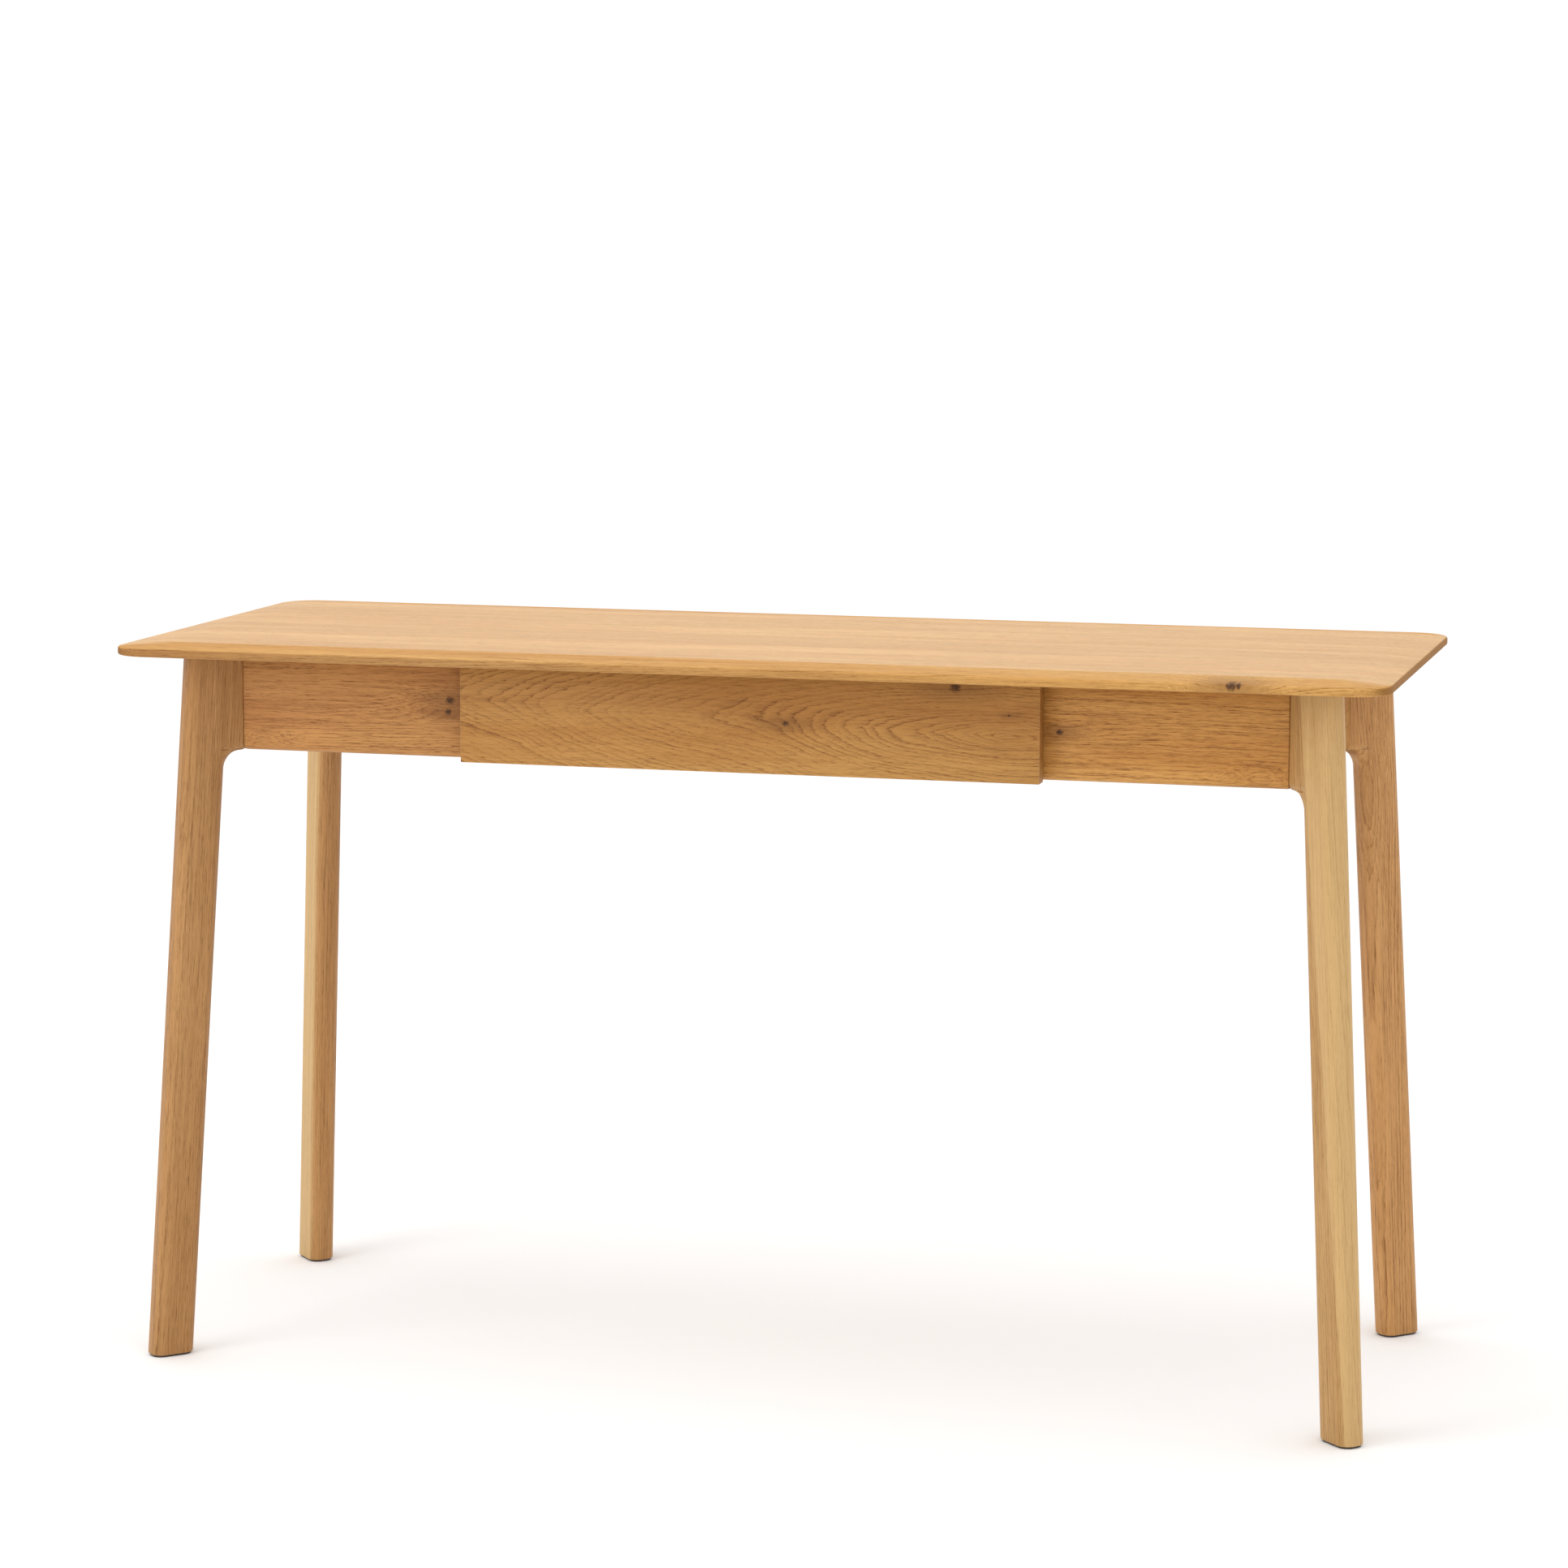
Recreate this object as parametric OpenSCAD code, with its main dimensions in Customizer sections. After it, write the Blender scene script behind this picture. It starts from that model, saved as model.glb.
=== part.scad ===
// Writing desk in solid oak with one drawer under the top.
// X runs left to right, Y front to back, Z up. The origin is on the floor under the middle of the desk.

/* [Table top] */
// Length of the top, left to right
desk_w = 1300; // [1250:10:1500]
// Depth of the top, front to back
desk_d = 515; // [500:5:600]
// Height of the desk
desk_h = 750; // [720:5:780]
// Thickness of the top
top_t = 18; // [16:1:24]
// Width of the shallow bevel round the upper face
bevel_w = 43; // [20:1:60]
// Fall of that bevel at the edge
bevel_drop = 3.5; // [1:0.1:5]
// Height of the upright band at the edge
band_h = 8.5; // [5:0.5:10]
// Width of the slope under the edge
undercut_w = 50; // [20:1:52]
// Radius of the top's corners, seen from above
corner_r = 36; // [20:1:60]

/* [Frame] */
// Length of the frame over the outer faces of the side aprons
frame_w = 1122; // [1080:2:1140]
// Depth of the frame over the outer faces of the front and back aprons
frame_d = 314; // [310:2:330]
// Height of the aprons
apron_h = 99; // [92:1:105]
// Thickness of the aprons
apron_t = 18; // [16:1:20]
// Radius of the apron's lower outer edge
apron_edge_r = 8; // [2:1:10]
// Width of the groove's half at each joint between an apron and a leg
joint_groove = 1; // [0.5:0.1:2]

/* [Legs] */
// Long side of the leg's section, on the corner's diagonal
leg_long = 46; // [42:1:50]
// Short side of the leg's section
leg_short = 29; // [26:1:32]
// Corner radius of the leg's section
leg_r = 12; // [6:1:12]
// Outward lean of each leg, along the diagonal, in degrees
splay = 4.2; // [3:0.1:5]
// Distance of the leg's axis outside the frame's inner corner, in X and in Y, at the bottom of the aprons
leg_offset = 38.5; // [37:0.5:40]
// Distance from the frame's inner corner to where the shoulders reach the leg's full width, on the diagonal
shoulder_len = 25; // [20:1:32]
// Radius of the cove under the shoulders
cove_r = 21; // [15:1:24]
// Thickness of the pad under each foot
pad_t = 2; // [1.5:0.5:4]

/* [Drawer] */
// Width of the drawer front
front_w = 600; // [560:5:640]
// Thickness of the drawer front
front_t = 18; // [16:1:22]
// How far the drawer front hangs below the aprons
front_below = 1.5; // [0:0.5:4]
// Gap between the drawer front and the underside of the top
front_top_gap = 2; // [1:0.5:4]
// Gap between the drawer front and the aprons behind it
front_back_gap = 0.5; // [0.5:0.1:1.5]
// How far the drawer front laps over the apron at each end
front_lap = 7; // [5:1:10]
// Height of the drawer box
box_h = 54; // [50:1:56]
// Thickness of the drawer sides and back
side_t = 12; // [10:1:14]
// Thickness of the drawer box's own front
box_front_t = 15; // [12:1:16]
// Thickness of the drawer bottom
bottom_t = 6; // [4:0.5:8]
// Length and travel of the drawer slides
slide_len = 250; // [200:10:250]

/* [Hidden] */
$fn = 96;

OAK_TOP = "#dcb583";
OAK_FRAME = "#c1935c";
OAK_LEG = "#c79c64";
OAK_INSIDE = "#dcc39a";
STEEL = "#b9bcbf";
CAGE = "#8a8d90";
FELT = "#4a3f38";

board_count = 6;
board_w = desk_d / board_count;
under_z = desk_h - top_t;
apron_z = under_z - apron_h;

// Inner corner of the frame, where the apron's inner faces and the leg meet
joint_x = frame_w / 2 - apron_t;
joint_y = frame_d / 2 - apron_t;
leg_u = leg_offset * sqrt(2);
corner_signs = [[-1, -1], [1, -1], [-1, 1], [1, 1]];

// Clearance of a fastener in its hole, and the overrun of a cutting solid
fit = 0.15;
over = 0.5;

dowel_r = 4;
dowel_in = 14;
dowel_out = 26;
end_dowel_z = [apron_z + 23, apron_z + 71];
side_dowel_z = [apron_z + 35, apron_z + 59];

window_x = front_w / 2 - front_lap;
runner_t = 18;
upper_rail_h = 18;
lower_rail_h = 14;
lower_rail_z = apron_z + 1;
lower_rail_d = 40;
lower_rail_over = 37;
runner_z = lower_rail_z + lower_rail_h;
runner_top_gap = 3;
runner_h = under_z - runner_top_gap - runner_z;
runner_dowel_z = [runner_z + 20, runner_z + 58];

bracket_leg = 50;
bracket_flange = 24;
bracket_h = 50;
bracket_t = 2.5;
bracket_mid_z = apron_z + apron_h / 2;
bracket_screw_len = 14;
bracket_screw_dz = [-12, 12];
bolt_r = 3;
bolt_in = 34;
bolt_plate_u = bracket_leg / sqrt(2);
washer_t = 1.5;
washer_r = 7;
nut_h = 5;
nut_across = 10;
bolt_tail = 4;
bolt_len = bolt_in + bolt_plate_u + bracket_t + washer_t + nut_h + bolt_tail;

button_w = 30;
button_d = 26;
button_h = 16;
tongue_h = 7;
tongue_in = 8;
button_end_x = 400;
button_mid_x = 130;
button_side_y = 45;
button_screw_in = 12;
rail_screw_in = 12;
rail_screw_y = [12, 28];

drawer_back_face = -frame_d / 2 - front_back_gap;
slide_w = 12.7;
box_x = window_x - slide_w;
box_clearance = 4;
box_z = runner_z + box_clearance;
bottom_up = 6;
bottom_z = box_z + bottom_up;
groove_in = 5.5;
slide_z = runner_z + 32;
slide_setback = 4;
slide_y = drawer_back_face + slide_setback;
box_back_y = slide_y + slide_len + 1.5;
finger_groove_r = 7;
finger_groove_up = 10;
front_screw_x = [-220, -75, 75, 220];
bottom_screw_x = [-180, 0, 180];

// Slide members: distance of the web from the runner, reach of the flanges and half height
sheet_t = 1.2;
outer_half = 17.5;
middle_half = 13.2;
inner_half = 8.9;
outer_reach = 9.5;
middle_web = 2.2;
middle_reach = 8;
inner_reach = 8.1;
cage_t = 0.4;
cage_gap = 0.3;
cage_strip = 0.8;
outer_cage_reach = 7;
inner_cage_reach = 5.6;
outer_ball_x = 6;
inner_ball_x = 7.5;
ball_r = 1.2;
ball_count = 6;
ball_pitch = 20;
cage_len = 120;
cage_from_front = 63;
slide_screw_y = [24, 120, 226];
slide_screw_r = 1.6;
slide_screw_head_r = 2.8;
outer_screw_len = 14;
inner_screw_len = 11;
front_screw_in = 11;
bottom_screw_in = 16;

tail_count = 3;
tail_flare = 1.6;
tail_root_share = 0.22;

// ---- Fasteners ----

// Countersunk wood screw with its head flush at the origin, pointing along +Z
module wood_screw(length, gap = 0, shank_r = 2, head_r = 4) {
    head_h = head_r - shank_r;
    tip_h = 3;
    cylinder(h = head_h, r1 = head_r + gap, r2 = shank_r + gap);
    cylinder(h = length - tip_h, r = shank_r + gap);
    translate([0, 0, length - tip_h])
        cylinder(h = tip_h, r1 = shank_r + gap, r2 = gap > 0 ? shank_r : 0.6);
    if (gap > 0)
        translate([0, 0, -over]) cylinder(h = over, r = head_r + gap);
}

// Dowel whose longer end points along -Z from the joint face at the origin
module dowel(gap = 0) {
    translate([0, 0, -dowel_out - gap])
        cylinder(h = dowel_in + dowel_out + 2 * gap, r = dowel_r + gap);
}

// Children at the ends of the front and back aprons, +Z pointing into the leg
module at_end_joints() {
    for (s = corner_signs, z = end_dowel_z)
        translate([s[0] * joint_x, s[1] * (joint_y + apron_t / 2), z])
            rotate([0, s[0] * 90, 0])
                children();
}

// Children at the ends of the side aprons, +Z pointing into the leg
module at_side_joints() {
    for (s = corner_signs, z = side_dowel_z)
        translate([s[0] * (joint_x + apron_t / 2), s[1] * joint_y, z])
            rotate([-s[1] * 90, 0, 0])
                children();
}

// Children at the ends of the upper drawer rail, +Z pointing into the front aprons
module at_rail_joints() {
    for (s = [-1, 1])
        translate([s * window_x, -joint_y - apron_t / 2, under_z - upper_rail_h / 2])
            rotate([0, s * 90, 0])
                children();
}

// Children at both ends of the runners, +Z pointing into the front and back aprons
module at_runner_joints() {
    for (s = corner_signs, z = runner_dowel_z)
        translate([s[0] * (window_x + runner_t / 2), s[1] * joint_y, z])
            rotate([-s[1] * 90, 0, 0])
                children();
}

module all_dowels(gap = 0) {
    at_end_joints() dowel(gap);
    at_side_joints() dowel(gap);
    at_rail_joints() dowel(gap);
    at_runner_joints() dowel(gap);
}

// Children in each corner's own frame: origin at the frame's inner corner, X outwards on the diagonal
module at_corners() {
    for (s = corner_signs)
        at_corner(s) children();
}

module at_corner(s) {
    mirror([s[0] < 0 ? 1 : 0, 0, 0])
        mirror([0, s[1] < 0 ? 1 : 0, 0])
            translate([joint_x, joint_y, 0])
                rotate([0, 0, 45])
                    children();
}

module hanger_bolt(gap = 0) {
    translate([bolt_in - bolt_len - gap, 0, bracket_mid_z])
        rotate([0, 90, 0])
            cylinder(h = bolt_len + 2 * gap, r = bolt_r + gap);
}

// Two screws through each flange of a corner bracket
module bracket_screw_set(gap = 0) {
    spot = bracket_leg + bracket_flange / 2;
    for (z = bracket_screw_dz) {
        rotate([0, 0, -45]) {
            translate([-spot, -bracket_t, bracket_mid_z + z])
                rotate([-90, 0, 0]) wood_screw(bracket_screw_len, gap);
            translate([-bracket_t, -spot, bracket_mid_z + z])
                rotate([0, 90, 0]) wood_screw(bracket_screw_len, gap);
        }
    }
}

// Children where each top button sits: origin on the apron's inner face under the top, Y pointing inwards
module at_buttons() {
    for (s = [-1, 1]) {
        translate([s * button_end_x, -joint_y, under_z]) children();
        for (x = [button_end_x, button_mid_x])
            translate([s * x, joint_y, under_z]) rotate([0, 0, 180]) children();
        for (y = [-button_side_y, button_side_y])
            translate([s * joint_x, y, under_z]) rotate([0, 0, s * 90]) children();
    }
}

module button_screw(gap = 0) {
    translate([0, button_d / 2, -button_h])
        wood_screw(button_h + button_screw_in, gap);
}

module rail_screw_set(gap = 0) {
    for (x = [-1, 1], y = rail_screw_y)
        translate([x * (window_x + runner_t / 2), -joint_y + y, lower_rail_z])
            wood_screw(lower_rail_h + rail_screw_in, gap);
}

// ---- Table top ----

// Section of the top across a span, seen from the end
module top_section(span) {
    edge = span / 2;
    polygon([
        [-edge + undercut_w, under_z], [edge - undercut_w, under_z],
        [edge, desk_h - bevel_drop - band_h], [edge, desk_h - bevel_drop],
        [edge - bevel_w, desk_h], [-edge + bevel_w, desk_h],
        [-edge, desk_h - bevel_drop], [-edge, desk_h - bevel_drop - band_h]
    ]);
}

module top_outline() {
    square([desk_w - 2 * corner_r, desk_d], center = true);
    square([desk_w, desk_d - 2 * corner_r], center = true);
    for (s = corner_signs)
        translate([s[0] * (desk_w / 2 - corner_r), s[1] * (desk_d / 2 - corner_r)])
            circle(corner_r);
}

module whole_top() {
    intersection() {
        rotate([90, 0, 90]) linear_extrude(desk_w + 2, center = true) top_section(desk_d);
        rotate([90, 0, 0]) linear_extrude(desk_d + 2, center = true) top_section(desk_w);
        linear_extrude(desk_h + 1) top_outline();
    }
}

module top_board(i) {
    color(OAK_TOP)
        difference() {
            intersection() {
                whole_top();
                translate([-desk_w, -desk_d / 2 + (i - 1) * board_w, 0])
                    cube([2 * desk_w, board_w, desk_h + 1]);
            }
            at_buttons() button_screw(fit);
        }
}

module top_buttons() {
    color(OAK_INSIDE)
        at_buttons()
            difference() {
                union() {
                    translate([-button_w / 2, 0, -button_h])
                        cube([button_w, button_d, button_h]);
                    translate([-button_w / 2, -tongue_in, -button_h])
                        cube([button_w, tongue_in, tongue_h]);
                }
                button_screw(fit);
            }
}

// Mortises in the aprons for the tongues of the buttons
module button_mortises() {
    room = 1;
    at_buttons()
        translate([-button_w / 2 - room, -tongue_in - room, -button_h - fit])
            cube([button_w + 2 * room, tongue_in + room + over, tongue_h + 2 * fit]);
}

module button_screws() {
    color(STEEL) at_buttons() button_screw();
}

// ---- Legs ----

module rounded_section(long, short, r) {
    square([long - 2 * r, short], center = true);
    square([long, short - 2 * r], center = true);
    for (s = corner_signs)
        translate([s[0] * (long / 2 - r), s[1] * (short / 2 - r)])
            circle(r);
}

// The leaning bar, cut level at the pad and under the top
module leg_bar() {
    reach = desk_h;
    intersection() {
        translate([leg_u, 0, apron_z])
            rotate([0, -splay, 0])
                linear_extrude(2 * reach, center = true)
                    rounded_section(leg_long, leg_short, leg_r);
        translate([0, -leg_short, pad_t])
            cube([2 * reach, 2 * leg_short, under_z - pad_t]);
    }
}

// A point of the corner's diagonal frame, given along X and Y from the frame's inner corner
function on_diagonal(u, v) = [(u - v) / sqrt(2), (u + v) / sqrt(2)];

// Upright block between the two aprons and the bar, with half of each joint's groove
module leg_shoulders() {
    half = leg_short / 2;
    bar_flat_u = leg_u - leg_long / 2 + leg_r;
    translate([0, 0, apron_z])
        rotate([0, 0, -45])
            linear_extrude(apron_h)
                polygon([
                    [0, 0], [0, apron_t - joint_groove], [joint_groove * 0.75, apron_t + joint_groove],
                    on_diagonal(shoulder_len, half), on_diagonal(bar_flat_u, half),
                    on_diagonal(bar_flat_u, -half), on_diagonal(shoulder_len, -half),
                    [apron_t + joint_groove, joint_groove * 0.75], [apron_t - joint_groove, 0]
                ]);
}

// Fillet that carries the underside of the shoulders down into the bar
module leg_cove() {
    width = leg_short - leg_r;
    inner_face = leg_u - leg_long / 2 + cove_r * tan(splay);
    translate([inner_face - cove_r, 0, apron_z - cove_r])
        difference() {
            translate([0, -width / 2, 0]) cube([cove_r + leg_long / 4, width, cove_r]);
            rotate([90, 0, 0]) cylinder(h = width + 2, r = cove_r, center = true);
        }
}

module leg(s) {
    color(OAK_LEG)
        difference() {
            at_corner(s) {
                leg_bar();
                leg_shoulders();
                leg_cove();
            }
            at_corner(s) hanger_bolt(fit);
            at_end_joints() dowel(fit);
            at_side_joints() dowel(fit);
        }
}

module foot_pads() {
    inset = 2;
    foot_u = leg_u + apron_z * tan(splay);
    color(FELT)
        at_corners()
            translate([foot_u, 0, 0])
                linear_extrude(pad_t)
                    rounded_section(leg_long - 2 * inset, leg_short - 2 * inset, leg_r - inset);
}

// ---- Frame ----

// Apron section with a rounded lower outer edge; X runs inwards from the outer face
module apron_section() {
    translate([apron_edge_r, 0]) square([apron_t - apron_edge_r, apron_h]);
    translate([0, apron_edge_r]) square([apron_t, apron_h - apron_edge_r]);
    translate([apron_edge_r, apron_edge_r]) circle(apron_edge_r);
}

// Half of a joint's groove, along Z at the origin
module groove_cut() {
    side = joint_groove * sqrt(2);
    translate([0, 0, apron_h / 2])
        rotate([0, 0, 45])
            cube([side, side, apron_h + 1], center = true);
}

// Apron along X from x0 to x1 with its outer face towards -Y at y = -face
module apron(x0, x1, face, grooves) {
    translate([0, -face, apron_z])
        difference() {
            translate([x0, 0, 0])
                rotate([90, 0, 90])
                    linear_extrude(x1 - x0) apron_section();
            for (x = grooves)
                translate([x, 0, 0]) groove_cut();
        }
}

// Everything that is cut out of the aprons for the pieces fixed to them
module apron_cuts() {
    all_dowels(fit);
    button_mortises();
    at_corners() bracket_screw_set(fit);
    at_corners() hanger_bolt(fit);
}

module apron_front(s) {
    color(OAK_FRAME)
        difference() {
            mirror([s < 0 ? 1 : 0, 0, 0])
                apron(window_x, joint_x, frame_d / 2, [joint_x]);
            apron_cuts();
        }
}

module apron_back() {
    color(OAK_FRAME)
        difference() {
            rotate([0, 0, 180]) apron(-joint_x, joint_x, frame_d / 2, [-joint_x, joint_x]);
            apron_cuts();
        }
}

module apron_side(s) {
    color(OAK_FRAME)
        difference() {
            rotate([0, 0, s * 90]) apron(-joint_y, joint_y, frame_w / 2, [-joint_y, joint_y]);
            apron_cuts();
        }
}

module drawer_rail_upper() {
    color(OAK_INSIDE)
        difference() {
            translate([-window_x, -frame_d / 2, under_z - upper_rail_h])
                cube([2 * window_x, apron_t, upper_rail_h]);
            at_rail_joints() dowel(fit);
        }
}

module drawer_rail_lower() {
    half = window_x + lower_rail_over;
    color(OAK_INSIDE)
        difference() {
            translate([-half, -joint_y, lower_rail_z])
                cube([2 * half, lower_rail_d, lower_rail_h]);
            rail_screw_set(fit);
        }
}

module runner(s) {
    color(OAK_INSIDE)
        difference() {
            mirror([s < 0 ? 1 : 0, 0, 0])
                translate([window_x, -joint_y, runner_z])
                    cube([runner_t, 2 * joint_y, runner_h]);
            at_runner_joints() dowel(fit);
            rail_screw_set(fit);
            at_slides() slide_outer_screw_set(fit);
        }
}

module dowels() {
    color(OAK_INSIDE) all_dowels();
}

module corner_brackets() {
    reach = bracket_leg + bracket_flange;
    bend = bracket_leg + bracket_t * (sqrt(2) - 1);
    color(STEEL)
        at_corners()
            difference() {
                translate([0, 0, bracket_mid_z - bracket_h / 2])
                    rotate([0, 0, -45])
                        linear_extrude(bracket_h)
                            polygon([
                                [-reach, 0], [-bracket_leg, 0], [0, -bracket_leg], [0, -reach],
                                [-bracket_t, -reach], [-bracket_t, -bend],
                                [-bend, -bracket_t], [-reach, -bracket_t]
                            ]);
                hanger_bolt(fit);
                bracket_screw_set(fit);
            }
}

module hanger_bolts() {
    color(STEEL) at_corners() hanger_bolt();
}

// Children on the inner face of each corner bracket, +Z pointing into the room
module at_bracket_plates() {
    at_corners()
        translate([-bolt_plate_u - bracket_t, 0, bracket_mid_z])
            rotate([0, -90, 0])
                children();
}

module hanger_washers() {
    color(STEEL)
        at_bracket_plates()
            difference() {
                cylinder(h = washer_t, r = washer_r);
                translate([0, 0, -over]) cylinder(h = washer_t + 2 * over, r = bolt_r + fit);
            }
}

module hanger_nuts() {
    color(STEEL)
        at_bracket_plates()
            translate([0, 0, washer_t])
                difference() {
                    cylinder(h = nut_h, r = nut_across / sqrt(3), $fn = 6);
                    translate([0, 0, -over]) cylinder(h = nut_h + 2 * over, r = bolt_r + fit);
                }
}

module bracket_screws() {
    color(STEEL) at_corners() bracket_screw_set();
}

module rail_screws() {
    color(STEEL) rail_screw_set();
}

// ---- Drawer slides ----

// Children in a slide's own frame: X from the runner to the drawer, Y from the slide's front end, Z centred
module at_slide(s) {
    mirror([s > 0 ? 1 : 0, 0, 0])
        translate([-window_x, slide_y, slide_z])
            children();
}

module at_slides() {
    for (s = [-1, 1])
        at_slide(s) children();
}

// Channel with its web at x = web_x and its flanges reaching towards +X, or -X when reach is negative
module channel(web_x, reach, half, web_t, flange_t, length) {
    low = min(web_x, web_x + reach);
    width = abs(reach);
    web_low = reach > 0 ? low : low + width - web_t;
    translate([web_low, 0, -half]) cube([web_t, length, 2 * half]);
    for (z = [-half, half - flange_t])
        translate([low, 0, z]) cube([width, length, flange_t]);
}

module slide_outer_screw_set(gap = 0) {
    for (y = slide_screw_y)
        translate([sheet_t, y, 0])
            rotate([0, -90, 0]) wood_screw(outer_screw_len, gap, slide_screw_r, slide_screw_head_r);
}

module slide_inner_screw_set(gap = 0) {
    for (y = slide_screw_y)
        translate([slide_w - sheet_t, y, 0])
            rotate([0, 90, 0]) wood_screw(inner_screw_len, gap, slide_screw_r, slide_screw_head_r);
}

module slide_outer(s) {
    color(STEEL)
        at_slide(s)
            difference() {
                channel(0, outer_reach, outer_half, sheet_t, sheet_t, slide_len);
                slide_outer_screw_set(fit);
            }
}

module slide_middle(s) {
    color(STEEL)
        at_slide(s)
            channel(middle_web, middle_reach, middle_half, sheet_t, sheet_t, slide_len);
}

module slide_inner(s) {
    color(STEEL)
        at_slide(s)
            difference() {
                channel(slide_w, -inner_reach, inner_half, sheet_t, sheet_t, slide_len);
                slide_inner_screw_set(fit);
            }
}

// Strip that wraps the races and carries a row of balls above and below
module ball_cage(s, web_x, reach, ball_x, ball_z) {
    first = (cage_len - (ball_count - 1) * ball_pitch) / 2;
    color(CAGE)
        at_slide(s)
            translate([0, cage_from_front, 0]) {
                channel(web_x, reach, ball_z + cage_strip / 2, cage_t, cage_strip, cage_len);
                for (i = [0 : ball_count - 1], z = [-ball_z, ball_z])
                    translate([ball_x, first + i * ball_pitch, z]) sphere(ball_r);
            }
}

module ball_cage_outer(s) {
    race = (outer_half - sheet_t + middle_half) / 2;
    ball_cage(s, sheet_t + cage_gap, outer_cage_reach, outer_ball_x, race);
}

module ball_cage_inner(s) {
    race = (middle_half - sheet_t + inner_half) / 2;
    ball_cage(s, middle_web + sheet_t + cage_gap, inner_cage_reach, inner_ball_x, race);
}

module slide_outer_screws() {
    color(STEEL) at_slides() slide_outer_screw_set();
}

module slide_inner_screws() {
    color(STEEL) at_slides() slide_inner_screw_set();
}

// ---- Drawer ----

module drawer_front_screw_set(gap = 0) {
    for (x = front_screw_x)
        translate([x, drawer_back_face + box_front_t, slide_z])
            rotate([90, 0, 0]) wood_screw(box_front_t + front_screw_in, gap);
}

module drawer_bottom_screw_set(gap = 0) {
    for (x = bottom_screw_x)
        translate([x, box_back_y - side_t / 2, bottom_z])
            wood_screw(bottom_t + bottom_screw_in, gap, slide_screw_r, slide_screw_head_r);
}

module drawer_front() {
    low = apron_z - front_below;
    high = under_z - front_top_gap;
    color(OAK_FRAME)
        difference() {
            translate([-front_w / 2, drawer_back_face - front_t, low])
                cube([front_w, front_t, high - low]);
            translate([-window_x, drawer_back_face, low + finger_groove_up])
                rotate([0, 90, 0]) cylinder(h = 2 * window_x, r = finger_groove_r);
            drawer_front_screw_set(fit);
        }
}

// Dovetails of one drawer side, filling the end board between y0 and y1; the wide ends are at y_wide
module tails(s, y0, y1, y_wide, low) {
    pitch = (box_z + box_h - low) / tail_count;
    root = pitch * tail_root_share;
    inner = y_wide == y0 ? y1 : y0;
    for (i = [0 : tail_count - 1])
        mirror([s > 0 ? 0 : 1, 0, 0])
            translate([box_x - side_t, 0, low + i * pitch])
                rotate([90, 0, 90])
                    linear_extrude(side_t)
                        polygon([
                            [inner, root + tail_flare], [y_wide, root - tail_flare],
                            [y_wide, pitch - root + tail_flare], [inner, pitch - root - tail_flare]
                        ]);
}

module front_tails(s) {
    tails(s, drawer_back_face, drawer_back_face + box_front_t, drawer_back_face, box_z);
}

module back_tails(s) {
    tails(s, box_back_y - side_t, box_back_y, box_back_y, bottom_z + bottom_t);
}

// The drawer bottom, and with a gap the groove that holds it
module bottom_panel(gap = 0) {
    half = box_x - side_t + groove_in + gap;
    front = drawer_back_face + box_front_t - groove_in - gap;
    translate([-half, front, bottom_z - gap])
        cube([2 * half, box_back_y + gap - front, bottom_t + 2 * gap]);
}

module drawer_side(s) {
    front = drawer_back_face + box_front_t;
    back = box_back_y - side_t;
    color(OAK_INSIDE)
        difference() {
            union() {
                mirror([s > 0 ? 0 : 1, 0, 0])
                    translate([box_x - side_t, front, box_z]) {
                        cube([side_t, back - front, box_h]);
                        cube([side_t, box_back_y - front, bottom_z + bottom_t - box_z]);
                    }
                front_tails(s);
                back_tails(s);
            }
            bottom_panel(fit);
            at_slides() slide_inner_screw_set(fit);
        }
}

module drawer_box_front() {
    color(OAK_INSIDE)
        difference() {
            translate([-box_x, drawer_back_face, box_z])
                cube([2 * box_x, box_front_t, box_h]);
            front_tails(-1);
            front_tails(1);
            bottom_panel(fit);
            drawer_front_screw_set(fit);
        }
}

module drawer_back() {
    low = bottom_z + bottom_t;
    color(OAK_INSIDE)
        difference() {
            translate([-box_x, box_back_y - side_t, low])
                cube([2 * box_x, side_t, box_z + box_h - low]);
            back_tails(-1);
            back_tails(1);
            drawer_bottom_screw_set(fit);
        }
}

module drawer_bottom() {
    color(OAK_INSIDE)
        difference() {
            bottom_panel();
            drawer_bottom_screw_set(fit);
        }
}

module drawer_front_screws() {
    color(STEEL) drawer_front_screw_set();
}

module drawer_bottom_screws() {
    color(STEEL) drawer_bottom_screw_set();
}

top_board(1);  // top_board_1
top_board(2);  // top_board_2
top_board(3);  // top_board_3
top_board(4);  // top_board_4
top_board(5);  // top_board_5
top_board(6);  // top_board_6
leg([-1, -1]);  // leg_front_left
leg([1, -1]);  // leg_front_right
leg([-1, 1]);  // leg_back_left
leg([1, 1]);  // leg_back_right
foot_pads();
apron_front(-1);  // apron_front_left
apron_front(1);  // apron_front_right
apron_back();
apron_side(-1);  // apron_left
apron_side(1);  // apron_right
drawer_rail_upper();
drawer_rail_lower();
runner(-1);  // runner_left
runner(1);  // runner_right
dowels();
corner_brackets();
hanger_bolts();
hanger_washers();
hanger_nuts();
bracket_screws();
top_buttons();
button_screws();
rail_screws();
slide_outer(-1);  // slide_outer_left
slide_outer(1);  // slide_outer_right
slide_outer_screws();
ball_cage_outer(-1);  // ball_cage_outer_left
ball_cage_outer(1);  // ball_cage_outer_right
slide_middle(-1);  // slide_middle_left
slide_middle(1);  // slide_middle_right
ball_cage_inner(-1);  // ball_cage_inner_left
ball_cage_inner(1);  // ball_cage_inner_right
slide_inner(-1);  // slide_inner_left
slide_inner(1);  // slide_inner_right
slide_inner_screws();
drawer_front();
drawer_box_front();
drawer_side(-1);  // drawer_side_left
drawer_side(1);  // drawer_side_right
drawer_back();
drawer_bottom();
drawer_front_screws();
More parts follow.
